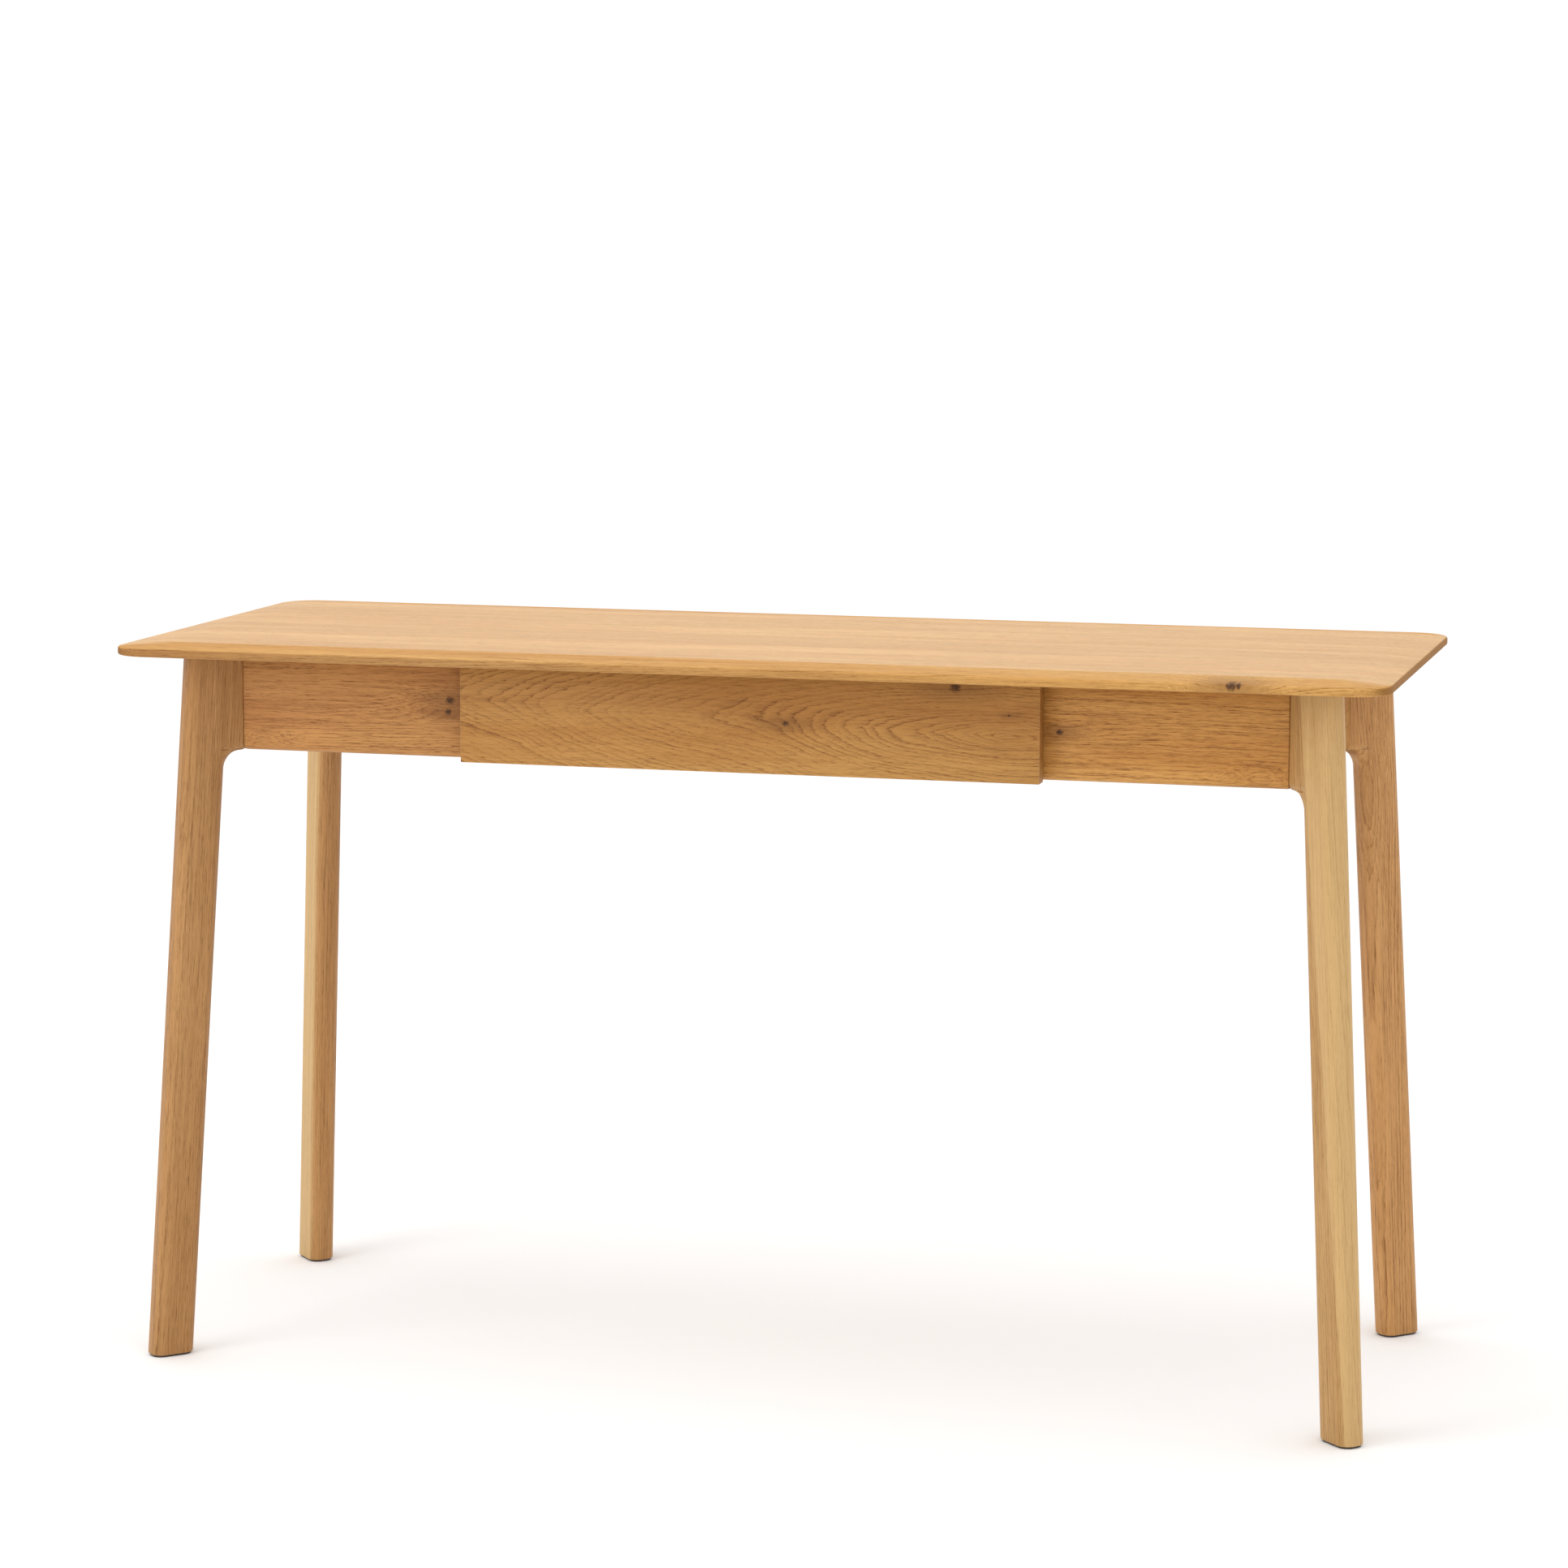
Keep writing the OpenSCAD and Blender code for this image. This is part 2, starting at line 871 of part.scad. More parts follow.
drawer_bottom_screws();
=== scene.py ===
"""The writing desk's looks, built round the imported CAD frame: meshes, oak and metal, light and camera."""

import math

import bmesh
import bpy
import numpy as np
from mathutils import Euler, Matrix, Vector


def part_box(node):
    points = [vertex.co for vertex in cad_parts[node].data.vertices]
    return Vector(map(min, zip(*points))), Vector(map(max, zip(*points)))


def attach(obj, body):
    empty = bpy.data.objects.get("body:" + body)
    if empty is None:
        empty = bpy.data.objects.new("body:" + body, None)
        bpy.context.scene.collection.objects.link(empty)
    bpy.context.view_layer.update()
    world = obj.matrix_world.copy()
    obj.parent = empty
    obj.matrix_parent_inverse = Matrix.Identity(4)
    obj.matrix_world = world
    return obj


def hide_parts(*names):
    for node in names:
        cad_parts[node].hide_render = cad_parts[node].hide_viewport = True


MM = 0.001

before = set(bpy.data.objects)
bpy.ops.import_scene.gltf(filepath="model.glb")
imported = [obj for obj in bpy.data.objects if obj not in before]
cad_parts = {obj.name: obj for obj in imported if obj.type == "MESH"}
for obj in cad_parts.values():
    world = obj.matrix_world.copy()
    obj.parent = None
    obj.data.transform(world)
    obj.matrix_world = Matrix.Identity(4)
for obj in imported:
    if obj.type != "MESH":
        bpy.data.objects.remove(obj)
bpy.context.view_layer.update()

# Shape values that the CAD source sets and that no node's box shows: millimetres, and the legs' splay angle
BEVEL_W = 43.0
BEVEL_DROP = 3.5
BAND_H = 8.5
UNDERCUT_W = 50.0
TOP_CORNER_R = 36.0
BEVEL_CORNER_R = 24.0
BOARD_COUNT = 6
LEG_LONG = 46.0
LEG_SHORT = 29.0
LEG_R = 12.0
SPLAY = math.radians(4.2)
LEG_OFFSET = 38.5
SHOULDER_LEN = 25.0
COVE_R = 21.0
APRON_EDGE_R = 8.0
JOINT_GROOVE = 1.0
PAD_T = 2.0
FINGER_GROOVE_R = 7.0
FINGER_GROOVE_UP = 10.0
FRONT_LAP = 7.0

# Shape values of the visual meshes only, in millimetres
BAND_UPPER_R = 2.6
BAND_LOWER_R = 1.8
LEG_HEAD_H = 33.0
LEG_CELL = 1.2
LEG_FILLET = 3.0
FOOT_ROUND = 1.4

# Places this near to each other count as one, in millimetres
NEAR = 0.1

# Height about which the figure of the frame's boards is centred, in millimetres
MID_Z = 680

# The desk's sides, and the signs of X and Y at each leg
SIDES = ("left", "right")
CORNERS = {"front_left": (-1, -1), "front_right": (1, -1), "back_left": (-1, 1), "back_right": (1, 1)}


def box_mm(node):
    """Lowest and highest corner of a CAD node, in millimetres."""
    low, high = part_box(node)
    return np.array(low) / MM, np.array(high) / MM


APRON_LOW, APRON_HIGH = box_mm("apron_back")
JOINT_X = APRON_HIGH[0]
JOINT_Y = APRON_LOW[1]
APRON_Z = APRON_LOW[2]
UNDER_Z = APRON_HIGH[2]
APRON_T = APRON_HIGH[1] - APRON_LOW[1]
DESK_H = box_mm("top_board_3")[1][2]
TOP_HALF_X = box_mm("top_board_3")[1][0]
TOP_HALF_Y = box_mm("top_board_6")[1][1]
LEG_U = LEG_OFFSET * math.sqrt(2)


# ---- Mesh tools ----


def link_mesh(name, mesh):
    """A new object in the scene with this mesh."""
    obj = bpy.data.objects.new(name, mesh)
    bpy.context.scene.collection.objects.link(obj)
    return obj


def make_object(name, points_mm, faces):
    """A mesh object from points in millimetres and lists of corner numbers."""
    mesh = bpy.data.meshes.new(name)
    mesh.from_pydata([tuple(p) for p in np.asarray(points_mm) * MM], [], faces)
    mesh.update()
    return link_mesh(name, mesh)


def mesh_from_bmesh(name, bm):
    """A mesh with the bmesh's content; the bmesh is used up."""
    mesh = bpy.data.meshes.new(name)
    bm.to_mesh(mesh)
    bm.free()
    return mesh


def object_from_bmesh(name, bm):
    """A mesh object from a bmesh whose points are in metres."""
    bmesh.ops.recalc_face_normals(bm, faces=bm.faces)
    return link_mesh(name, mesh_from_bmesh(name, bm))


def cut_away(bm, place, direction):
    """Cuts the bmesh with a plane, clears what lies in the direction and returns the edges of the cut."""
    whole = bm.verts[:] + bm.edges[:] + bm.faces[:]
    cut = bmesh.ops.bisect_plane(bm, geom=whole, plane_co=place, plane_no=direction, clear_outer=True)
    return [item for item in cut["geom_cut"] if isinstance(item, bmesh.types.BMEdge)]


def shade(obj, angle=28):
    """Smooth shading with edges kept sharp where faces turn by more than the angle."""
    mesh = obj.data
    mesh.polygons.foreach_set("use_smooth", [True] * len(mesh.polygons))
    bm = bmesh.new()
    bm.from_mesh(mesh)
    limit = math.radians(angle)
    for edge in bm.edges:
        edge.smooth = len(edge.link_faces) == 2 and edge.calc_face_angle(0) < limit
    bm.to_mesh(mesh)
    bm.free()
    return obj


def ring_faces(ring_count, ring_size):
    """Quads that join rings of equal size, ring by ring."""
    faces = []
    for r in range(ring_count - 1):
        a, b = r * ring_size, (r + 1) * ring_size
        for i in range(ring_size):
            j = (i + 1) % ring_size
            faces.append((a + i, a + j, b + j, b + i))
    return faces


def arc(centre, radius, start_deg, end_deg, count):
    """Points on an arc in a plane, both ends included."""
    angles = np.radians(np.linspace(start_deg, end_deg, count))
    return [(centre[0] + radius * math.cos(a), centre[1] + radius * math.sin(a)) for a in angles]


def adopt(obj, body, slot, *nodes):
    """The piece rides on a body and stands for CAD nodes, which are hidden; the slot is not used."""
    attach(obj, body)
    if nodes:
        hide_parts(*nodes)
    return obj


# ---- Table top ----


def top_profile():
    """Inset from the edge and height of the top's skin, from the flat on top to the flat underneath."""
    bevel_z = DESK_H - BEVEL_DROP
    band_z = bevel_z - BAND_H
    slope_up = math.degrees(math.atan2(BEVEL_DROP, BEVEL_W))
    slope_down = math.degrees(math.atan2(band_z - UNDER_Z, UNDERCUT_W))

    # The flat turns softly into the bevel: reach to each side, and drop below the sharp shape
    soft, dip, side_dip = 3.0, 0.13, 0.03
    rows = [(BEVEL_W + 8, DESK_H), (BEVEL_W + soft, DESK_H - side_dip), (BEVEL_W, DESK_H - dip)]
    rows.append((BEVEL_W - soft, DESK_H - BEVEL_DROP * soft / BEVEL_W - side_dip))
    rows.append((BEVEL_W / 2, DESK_H - BEVEL_DROP / 2))

    # The band's two rounded edges, the upper one a hair above the bevel's sharp end
    upper = (BAND_UPPER_R, bevel_z + 0.2 - BAND_UPPER_R)
    lower = (BAND_LOWER_R, band_z + BAND_LOWER_R)
    rows += arc(upper, BAND_UPPER_R, 90 + slope_up, 180, 7)
    rows += arc(lower, BAND_LOWER_R, 180, 270 - slope_down, 5)

    # The slope underneath runs softly into the flat underside
    under_soft = 1.5
    rows.append((UNDERCUT_W - under_soft, UNDER_Z + under_soft * (band_z - UNDER_Z) / UNDERCUT_W))
    rows += [(UNDERCUT_W + 1, UNDER_Z + 0.02), (UNDERCUT_W + 6, UNDER_Z)]
    return rows


def outline(inset, radius, corner_steps=14):
    """Closed outline of the top at an inset from its edge."""
    half_x, half_y = TOP_HALF_X - inset, TOP_HALF_Y - inset
    points = []
    for start, sx, sy in ((0, 1, 1), (90, -1, 1), (180, -1, -1), (270, 1, -1)):
        centre = (sx * (half_x - radius), sy * (half_y - radius))
        points += arc(centre, radius, start, start + 90, corner_steps)
    return points


def top_boards():
    """The six boards of the top, cut from one skin so that the bevel runs across their joints."""
    points, rows = [], top_profile()
    for inset, z in rows:
        share = min(inset / BEVEL_W, 1)
        radius = TOP_CORNER_R + (BEVEL_CORNER_R - TOP_CORNER_R) * share
        points += [(x, y, z) for x, y in outline(inset, radius)]
    size = len(points) // len(rows)
    faces = ring_faces(len(rows), size)
    faces.append(tuple(range(size)))
    faces.append(tuple(range((len(rows) - 1) * size, len(rows) * size)))
    whole = make_object("top_skin", points, faces)
    boards = []
    for i in range(BOARD_COUNT):
        bm = bmesh.new()
        bm.from_mesh(whole.data)
        for k, side in ((i, -1), (i + 1, 1)):
            if k in (0, BOARD_COUNT):
                continue
            y = (-TOP_HALF_Y + k * 2 * TOP_HALF_Y / BOARD_COUNT) * MM
            bmesh.ops.edgeloop_fill(bm, edges=cut_away(bm, (0, y, 0), (0, side, 0)))
        node = f"top_board_{i + 1}"
        board = shade(object_from_bmesh(f"oak_{node}", bm))
        boards.append(adopt(board, "desk", "oak_top", node))
    bpy.data.objects.remove(whole)
    return boards


# ---- Legs ----


def rounded_corner(a, b, r):
    """Distance to the rounded edge between two faces, from the distances to each of them."""
    inner = np.minimum(np.maximum(a, b), -r)
    return inner + np.hypot(np.maximum(a + r, 0), np.maximum(b + r, 0))


def blend_union(a, b, k):
    """Distance to two joined solids with a small fillet of width k between them."""
    h = np.maximum(k - np.abs(a - b), 0) / k
    return np.minimum(a, b) - h * h * k / 4


def shoulder_distance(u, v, z):
    """Distance to the shoulders: joint face, half a groove, sloping face and the flat into the bar."""
    half_long, half_short = LEG_LONG / 2, LEG_SHORT / 2
    root2 = math.sqrt(2)
    g = JOINT_GROOVE
    corners = [(0, APRON_T - g), (0.75 * g, APRON_T + g)]
    (u1, v1), (u2, v2) = [((x + y) / root2, (y - x) / root2) for x, y in corners]
    joint = (v - u) / root2
    length = math.hypot(u2 - u1, v2 - v1)
    chamfer = ((u1 - u) * (v2 - v1) + (v - v1) * (u2 - u1)) / length
    run, rise = SHOULDER_LEN - u2, half_short - v2
    slope = ((u2 - u) * rise + (v - v2) * run) / math.hypot(run, rise)
    outer = np.maximum(np.maximum(chamfer, slope), v - half_short)
    block = rounded_corner(outer, APRON_Z - z, APRON_EDGE_R - 1)
    block = np.maximum(block, joint)
    return np.maximum(block, u - (LEG_U - half_long + LEG_R))


def cove_distance(u, v, z):
    """Distance to the cove: the bar's inner end swept along a quarter circle."""
    cove_u = LEG_U - LEG_LONG / 2 + COVE_R * math.tan(SPLAY) - COVE_R
    cove_z = APRON_Z - COVE_R
    hollow = COVE_R - np.hypot(u - cove_u, z - cove_z)
    cove = rounded_corner(hollow, v - LEG_SHORT / 2, LEG_R)
    cove = np.maximum(cove, np.maximum(cove_u - u, cove_z - 1 - z))
    return np.maximum(cove, np.maximum(z - APRON_Z - 1, u - LEG_U))


def leg_distance(p):
    """Distance in millimetres to a leg's skin above its foot.

    p holds (u, v, z) in the corner's own frame: u along the diagonal outwards, v across it.
    """
    u, v, z = p[..., 0], np.abs(p[..., 1]), p[..., 2]
    axis_u = LEG_U + (APRON_Z - z) * math.tan(SPLAY)
    bar = rounded_corner(np.abs(u - axis_u) * math.cos(SPLAY) - LEG_LONG / 2, v - LEG_SHORT / 2, LEG_R)
    body = blend_union(np.minimum(bar, cove_distance(u, v, z)), shoulder_distance(u, v, z), LEG_FILLET)
    body = np.maximum(body, -u)
    return np.maximum(body, z - UNDER_Z)


def gradient(distance, p):
    """Unit direction in which the distance grows."""
    step = 0.02
    slope = np.zeros_like(p)
    for axis in range(3):
        shift = np.zeros(3)
        shift[axis] = step
        slope[:, axis] = distance(p + shift) - distance(p - shift)
    return slope / np.maximum(np.linalg.norm(slope, axis=1, keepdims=True), 1e-9)


def zero_between(distance, lower, upper, d0, d1):
    """The zero of the distance on each line from lower to upper, closed in from both ends."""
    for _ in range(4):
        share = (d0 / (d0 - d1))[:, None]
        middle = lower + (upper - lower) * share
        dm = distance(middle)
        same = (dm < 0) == (d0 < 0)
        lower, d0 = np.where(same[:, None], middle, lower), np.where(same, dm, d0)
        upper, d1 = np.where(same[:, None], upper, middle), np.where(same, d1, dm)
        d0 = np.where(d0 == d1, d0 - 1e-9, d0)
    return np.where((np.abs(d0) < np.abs(d1))[:, None], lower, upper)


def contour(distance, low, high, step):
    """Quads on the zero of a distance field, one point per cell, with sharp edges kept (dual contouring)."""
    axes = [np.arange(lo, hi + step, step) for lo, hi in zip(low, high)]
    grid = np.stack(np.meshgrid(*axes, indexing="ij"), -1)
    field = distance(grid)
    inside = field < 0
    cells = np.array(field.shape) - 1
    normal_sum = np.zeros((cells.prod(), 3, 3))
    target = np.zeros((cells.prod(), 3))
    centre = np.zeros((cells.prod(), 3))
    count = np.zeros(cells.prod())
    quads = []
    for axis in range(3):
        others = [a for a in range(3) if a != axis]
        first = [slice(None)] * 3
        second = [slice(None)] * 3
        first[axis], second[axis] = slice(0, -1), slice(1, None)
        start, end = inside[tuple(first)], inside[tuple(second)]
        index = np.argwhere(start != end)
        for a in others:
            index = index[(index[:, a] > 0) & (index[:, a] < cells[a])]
        index = index[index[:, axis] < cells[axis]]
        step_to = np.zeros(3, int)
        step_to[axis] = 1
        lower, upper = tuple(index.T), tuple((index + step_to).T)
        crossing = zero_between(distance, grid[lower], grid[upper], field[lower], field[upper])
        normals = gradient(distance, crossing)
        around = []
        for da, db in ((0, 0), (-1, 0), (-1, -1), (0, -1)):
            cell = index.copy()
            cell[:, others[0]] += da
            cell[:, others[1]] += db
            flat = np.ravel_multi_index(tuple(cell.T), cells)
            around.append(flat)
            np.add.at(normal_sum, flat, normals[:, :, None] * normals[:, None, :])
            np.add.at(target, flat, normals * np.sum(normals * crossing, 1, keepdims=True))
            np.add.at(centre, flat, crossing)
            np.add.at(count, flat, 1)
        turned = start[lower] ^ (axis == 1)
        quad = np.stack(around, 1)
        quads.append(np.where(turned[:, None], quad[:, ::-1], quad))
    used = np.flatnonzero(count)
    mean = centre[used] / count[used][:, None]

    # Each point goes where its cell's tangent planes meet; a weak pull to the mean settles flat places
    pull = 0.05
    system = normal_sum[used] + pull * np.eye(3)
    points = np.linalg.solve(system, (target[used] + pull * mean)[..., None])[..., 0]
    cell_low = np.stack(np.unravel_index(used, cells), 1) * step + np.array([a[0] for a in axes])
    points = np.clip(points, cell_low, cell_low + step)
    number = np.full(cells.prod(), -1)
    number[used] = np.arange(len(used))
    return points, number[np.concatenate(quads)]


def leg_head():
    """The leg's shaped head as a bmesh in millimetres, open below, and the edges of its open end."""
    cut_z = APRON_Z - LEG_HEAD_H

    # The sampled block reaches about two cells past the head, and further out where the leg leans
    low = (-2.3, -LEG_SHORT / 2 - 2.2, cut_z - 2.6)
    high = (LEG_U + LEG_LONG / 2 + 6, LEG_SHORT / 2 + 2.2, UNDER_Z + 2.4)
    points, quads = contour(leg_distance, low, high, LEG_CELL)
    bm = bmesh.new()
    verts = [bm.verts.new(p) for p in points]
    for quad in quads:
        bm.faces.new([verts[i] for i in quad])
    bmesh.ops.recalc_face_normals(bm, faces=bm.faces)
    return bm, cut_away(bm, (0, 0, cut_z), (0, 0, -1))


def leg_template():
    """One leg in the corner's own frame: the shaped head, then the plain bar down to the foot."""
    bm, edges = leg_head()
    lean = math.tan(SPLAY)
    heights = np.linspace(APRON_Z - LEG_HEAD_H, PAD_T + FOOT_ROUND, 9)[1:]
    stations = [(z, 0) for z in heights]
    stations += [(PAD_T + 0.4, FOOT_ROUND * 0.35), (PAD_T, FOOT_ROUND)]
    for z, inset in stations:
        made = bmesh.ops.extrude_edge_only(bm, edges=edges)["geom"]
        ring = [g for g in made if isinstance(g, bmesh.types.BMVert)]
        edges = [g for g in made if isinstance(g, bmesh.types.BMEdge)]
        old_z = ring[0].co.z
        old_axis, new_axis = (LEG_U + (APRON_Z - height) * lean for height in (old_z, z))
        for vert in ring:
            offset = Vector((vert.co.x - old_axis, vert.co.y))
            if inset:
                offset *= 1 - inset / (LEG_LONG / 2)
            vert.co = (new_axis + offset.x, offset.y, z)
    bmesh.ops.edgeloop_fill(bm, edges=edges)
    bmesh.ops.recalc_face_normals(bm, faces=bm.faces)
    return mesh_from_bmesh("leg_template", bm)


def place_legs():
    """The four legs, each the template turned into its corner."""
    template = leg_template()
    legs = {}
    diagonal = Matrix.Rotation(math.radians(45), 4, "Z")
    to_corner = Matrix.Translation((JOINT_X, JOINT_Y, 0)) @ diagonal
    for name, (sx, sy) in CORNERS.items():
        mesh = template.copy()
        mesh.transform(Matrix.Scale(MM, 4) @ Matrix.Diagonal((sx, sy, 1, 1)) @ to_corner)
        if sx * sy < 0:
            mesh.flip_normals()
        leg = shade(link_mesh(f"oak_leg_{name}", mesh))
        legs[name] = adopt(leg, "desk", "oak_legs", f"leg_{name}")
    bpy.data.meshes.remove(template)
    return legs


# ---- Boards of the frame and the drawer ----


def bevel_edges(bm, edges, size, segments):
    """Rounds or chamfers edges by a size in millimetres."""
    bmesh.ops.bevel(
        bm, geom=edges, offset=size * MM, segments=segments, profile=0.5, affect="EDGES", clamp_overlap=True
    )


def corner_edges(bm, degrees=25):
    """Edges where the faces turn by more than the angle."""
    return [e for e in bm.edges if e.calc_face_angle(0) > math.radians(degrees)]


def plank(low, high, edge=0.6, rounded=(), chamfered=()):
    """A bmesh board between two corners in millimetres.

    rounded and chamfered hold (test, size) pairs. A test is given an edge's middle in millimetres and its
    direction.
    """
    low, high = Vector(low) * MM, Vector(high) * MM
    bm = bmesh.new()
    bmesh.ops.create_cube(bm, size=1)
    for vert in bm.verts:
        vert.co = [a + (b - a) * (c + 0.5) for a, b, c in zip(low, high, vert.co)]
    for group, segments in ((rounded, 10), (chamfered, 1)):
        for test, size in group:
            picked = []
            for e in corner_edges(bm, 3):
                start, end = (v.co for v in e.verts)
                if test((start + end) / 2 / MM, (end - start).normalized()):
                    picked.append(e)
            bevel_edges(bm, picked, size, segments)
    if edge:
        bevel_edges(bm, corner_edges(bm), edge, 2)
    return bm


def apron(node, face_axis, grooves):
    """An apron from its CAD box: big lower outer edge, and half a groove at each end that meets a leg."""
    low, high = box_mm(node)
    along = 1 - face_axis
    face = high[face_axis] if low[face_axis] > 0 else low[face_axis]
    ends = [(low, high)[i][along] for i in grooves]

    def lower_outer(place, direction):
        on_face = abs(place[face_axis] - face) < NEAR
        return on_face and abs(direction[along]) > 0.9 and place[2] < low[2] + NEAR

    def outer_end(place, direction):
        at_end = any(abs(place[along] - end) < NEAR for end in ends)
        across = abs(direction[along]) < 0.3 and place[2] < high[2] - NEAR
        return at_end and across and abs(place[face_axis] - face) < APRON_EDGE_R - 2 * NEAR

    bm = plank(low, high, 0.5, [(lower_outer, APRON_EDGE_R)], [(outer_end, JOINT_GROOVE)])
    return adopt(shade(object_from_bmesh(f"oak_{node}", bm)), "desk", "oak_aprons", node)


def carved(obj, cutter):
    """Takes the cutter's shape out of the piece, and the cutter away."""
    cut = obj.modifiers.new("cut", "BOOLEAN")
    cut.operation, cut.solver, cut.object = "DIFFERENCE", "EXACT", cutter
    bpy.context.view_layer.update()
    result = obj.evaluated_get(bpy.context.evaluated_depsgraph_get())
    mesh = bpy.data.meshes.new_from_object(result)
    obj.modifiers.clear()
    obj.data = mesh
    bpy.data.objects.remove(cutter)
    return obj


def drawer_front():
    """The drawer front with its eased edges and the finger groove along the bottom of its back."""
    low, high = box_mm("drawer_front")
    front = object_from_bmesh("oak_drawer_front", plank(low, high, 1.0))
    bm = bmesh.new()
    reach = high[0] - FRONT_LAP
    to_groove = Matrix.Translation((0, high[1] * MM, (low[2] + FINGER_GROOVE_UP) * MM))
    bmesh.ops.create_cone(
        bm,
        segments=48,
        radius1=FINGER_GROOVE_R * MM,
        radius2=FINGER_GROOVE_R * MM,
        depth=2 * reach * MM,
        cap_ends=True,
        matrix=to_groove @ Matrix.Rotation(math.radians(90), 4, "Y"),
    )
    carved(front, object_from_bmesh("finger_groove", bm))
    return adopt(shade(front), "drawer", "oak_aprons", "drawer_front")


def plain_board(node, body, slot, edge):
    """A straight board from its CAD box, with eased edges."""
    low, high = box_mm(node)
    return adopt(shade(object_from_bmesh(f"oak_{node}", plank(low, high, edge))), body, slot, node)


def top_buttons():
    """The ten wooden buttons, with the tongue of each in its apron's mortise."""
    width, depth, height, tongue_h, tongue_in = 30, 26, 16, 7, 8
    profile = [
        (-tongue_in, -height),
        (-tongue_in, tongue_h - height),
        (0, tongue_h - height),
        (0, 0),
        (depth, 0),
        (depth, -height),
    ]
    end_x, mid_x, side_y = 400, 130, 45
    places = [(s * end_x, -JOINT_Y, 0) for s in (-1, 1)]
    places += [(s * x, JOINT_Y, 180) for s in (-1, 1) for x in (end_x, mid_x)]
    places += [(s * JOINT_X, y, s * 90) for s in (-1, 1) for y in (-side_y, side_y)]
    block = bmesh.new()
    for x in (-width / 2, width / 2):
        block.faces.new([block.verts.new((x * MM, y * MM, z * MM)) for y, z in profile])
    bottom, top = [list(face.verts) for face in block.faces]
    for i in range(len(profile)):
        j = (i + 1) % len(profile)
        block.faces.new((bottom[i], bottom[j], top[j], top[i]))
    bmesh.ops.recalc_face_normals(block, faces=block.faces)
    bevel_edges(block, corner_edges(block), 0.8, 2)
    one = mesh_from_bmesh("button", block)
    joined = bmesh.new()
    for x, y, turn in places:
        copy = one.copy()
        to_place = Matrix.Translation((x * MM, y * MM, UNDER_Z * MM))
        copy.transform(to_place @ Matrix.Rotation(math.radians(turn), 4, "Z"))
        joined.from_mesh(copy)
        bpy.data.meshes.remove(copy)
    bpy.data.meshes.remove(one)
    return adopt(shade(object_from_bmesh("oak_top_buttons", joined)), "desk", "oak_rails", "top_buttons")


def soften(node, width, angle=35):
    """Eases the edges of a CAD node that stays in view."""
    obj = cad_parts[node]
    flat = obj.modifiers.new("join_flats", "DECIMATE")
    flat.decimate_type, flat.angle_limit = "DISSOLVE", math.radians(0.5)
    ease = obj.modifiers.new("ease_edges", "BEVEL")
    ease.width, ease.segments = width * MM, 2
    ease.limit_method, ease.angle_limit = "ANGLE", math.radians(angle)
    ease.harden_normals = False
    even = obj.modifiers.new("even_shading", "WEIGHTED_NORMAL")
    even.keep_sharp = True
    return obj


boards = top_boards()
legs = place_legs()
front_left = apron("apron_front_left", 1, (0,))
front_right = apron("apron_front_right", 1, (1,))
back = apron("apron_back", 1, (0, 1))
side_left = apron("apron_left", 0, (0, 1))
side_right = apron("apron_right", 0, (0, 1))
front = drawer_front()
upper_rail = plain_board("drawer_rail_upper", "desk", "oak_rails", 0.5)
lower_rail = plain_board("drawer_rail_lower", "desk", "oak_rails", 1.0)
runners = [plain_board(f"runner_{side}", "desk", "oak_rails", 0.8) for side in SIDES]
buttons = top_buttons()

# ---- Materials ----


class Tree:
    """Adds nodes to a shader tree. A value may be a number, a vector or another node's output."""

    def __init__(self, tree):
        self.tree = tree

    def node(self, kind, inputs=(), **settings):
        """A node with its settings and inputs."""
        made = self.tree.nodes.new(kind)
        for name, value in settings.items():
            setattr(made, name, value)
        for name, value in dict(inputs).items():
            self.feed(made.inputs[name], value)
        return made

    def feed(self, socket, value):
        """Links an output to the socket, or sets the socket to a plain value."""
        if isinstance(value, bpy.types.NodeSocket):
            self.tree.links.new(value, socket)
        else:
            socket.default_value = value

    def math(self, operation, *values, clamp=False):
        """Output of a math node."""
        made = self.node("ShaderNodeMath", operation=operation, use_clamp=clamp)
        for socket, value in zip(made.inputs, values):
            self.feed(socket, value)
        return made.outputs[0]

    def vector(self, operation, *values):
        """Output of a vector math node."""
        made = self.node("ShaderNodeVectorMath", operation=operation)
        for socket, value in zip(made.inputs, values):
            self.feed(socket, value)
        return made.outputs["Value" if operation in ("LENGTH", "DOT_PRODUCT") else "Vector"]

    def scale(self, value, shape, factor):
        """A vector stretched by a fixed shape and a varying factor."""
        shaped = self.vector("MULTIPLY", value, shape)
        made = self.node("ShaderNodeVectorMath", {0: shaped, "Scale": factor}, operation="SCALE")
        return made.outputs["Vector"]

    def ramp(self, value, low, high, to_low=0.0, to_high=1.0):
        """Smooth step of a value from low to high."""
        names = {"Value": value, "From Min": low, "From Max": high, "To Min": to_low, "To Max": to_high}
        return self.node("ShaderNodeMapRange", names, interpolation_type="SMOOTHSTEP").outputs["Result"]

    def noise(self, place, stretch, detail=2.0, roughness=0.5):
        """Noise from 0 to 1 with so many cycles a metre along each axis."""
        scaled = self.vector("MULTIPLY", place, stretch)
        names = {"Vector": scaled, "Scale": 1.0, "Detail": detail, "Roughness": roughness}
        return self.node("ShaderNodeTexNoise", names).outputs["Fac"]

    def mix(self, share, first, second, blend="MIX"):
        """Two colours mixed."""
        made = self.node("ShaderNodeMix", data_type="RGBA", blend_type=blend)
        for socket, value in zip((made.inputs[0], made.inputs[6], made.inputs[7]), (share, first, second)):
            self.feed(socket, value)
        return made.outputs[2]


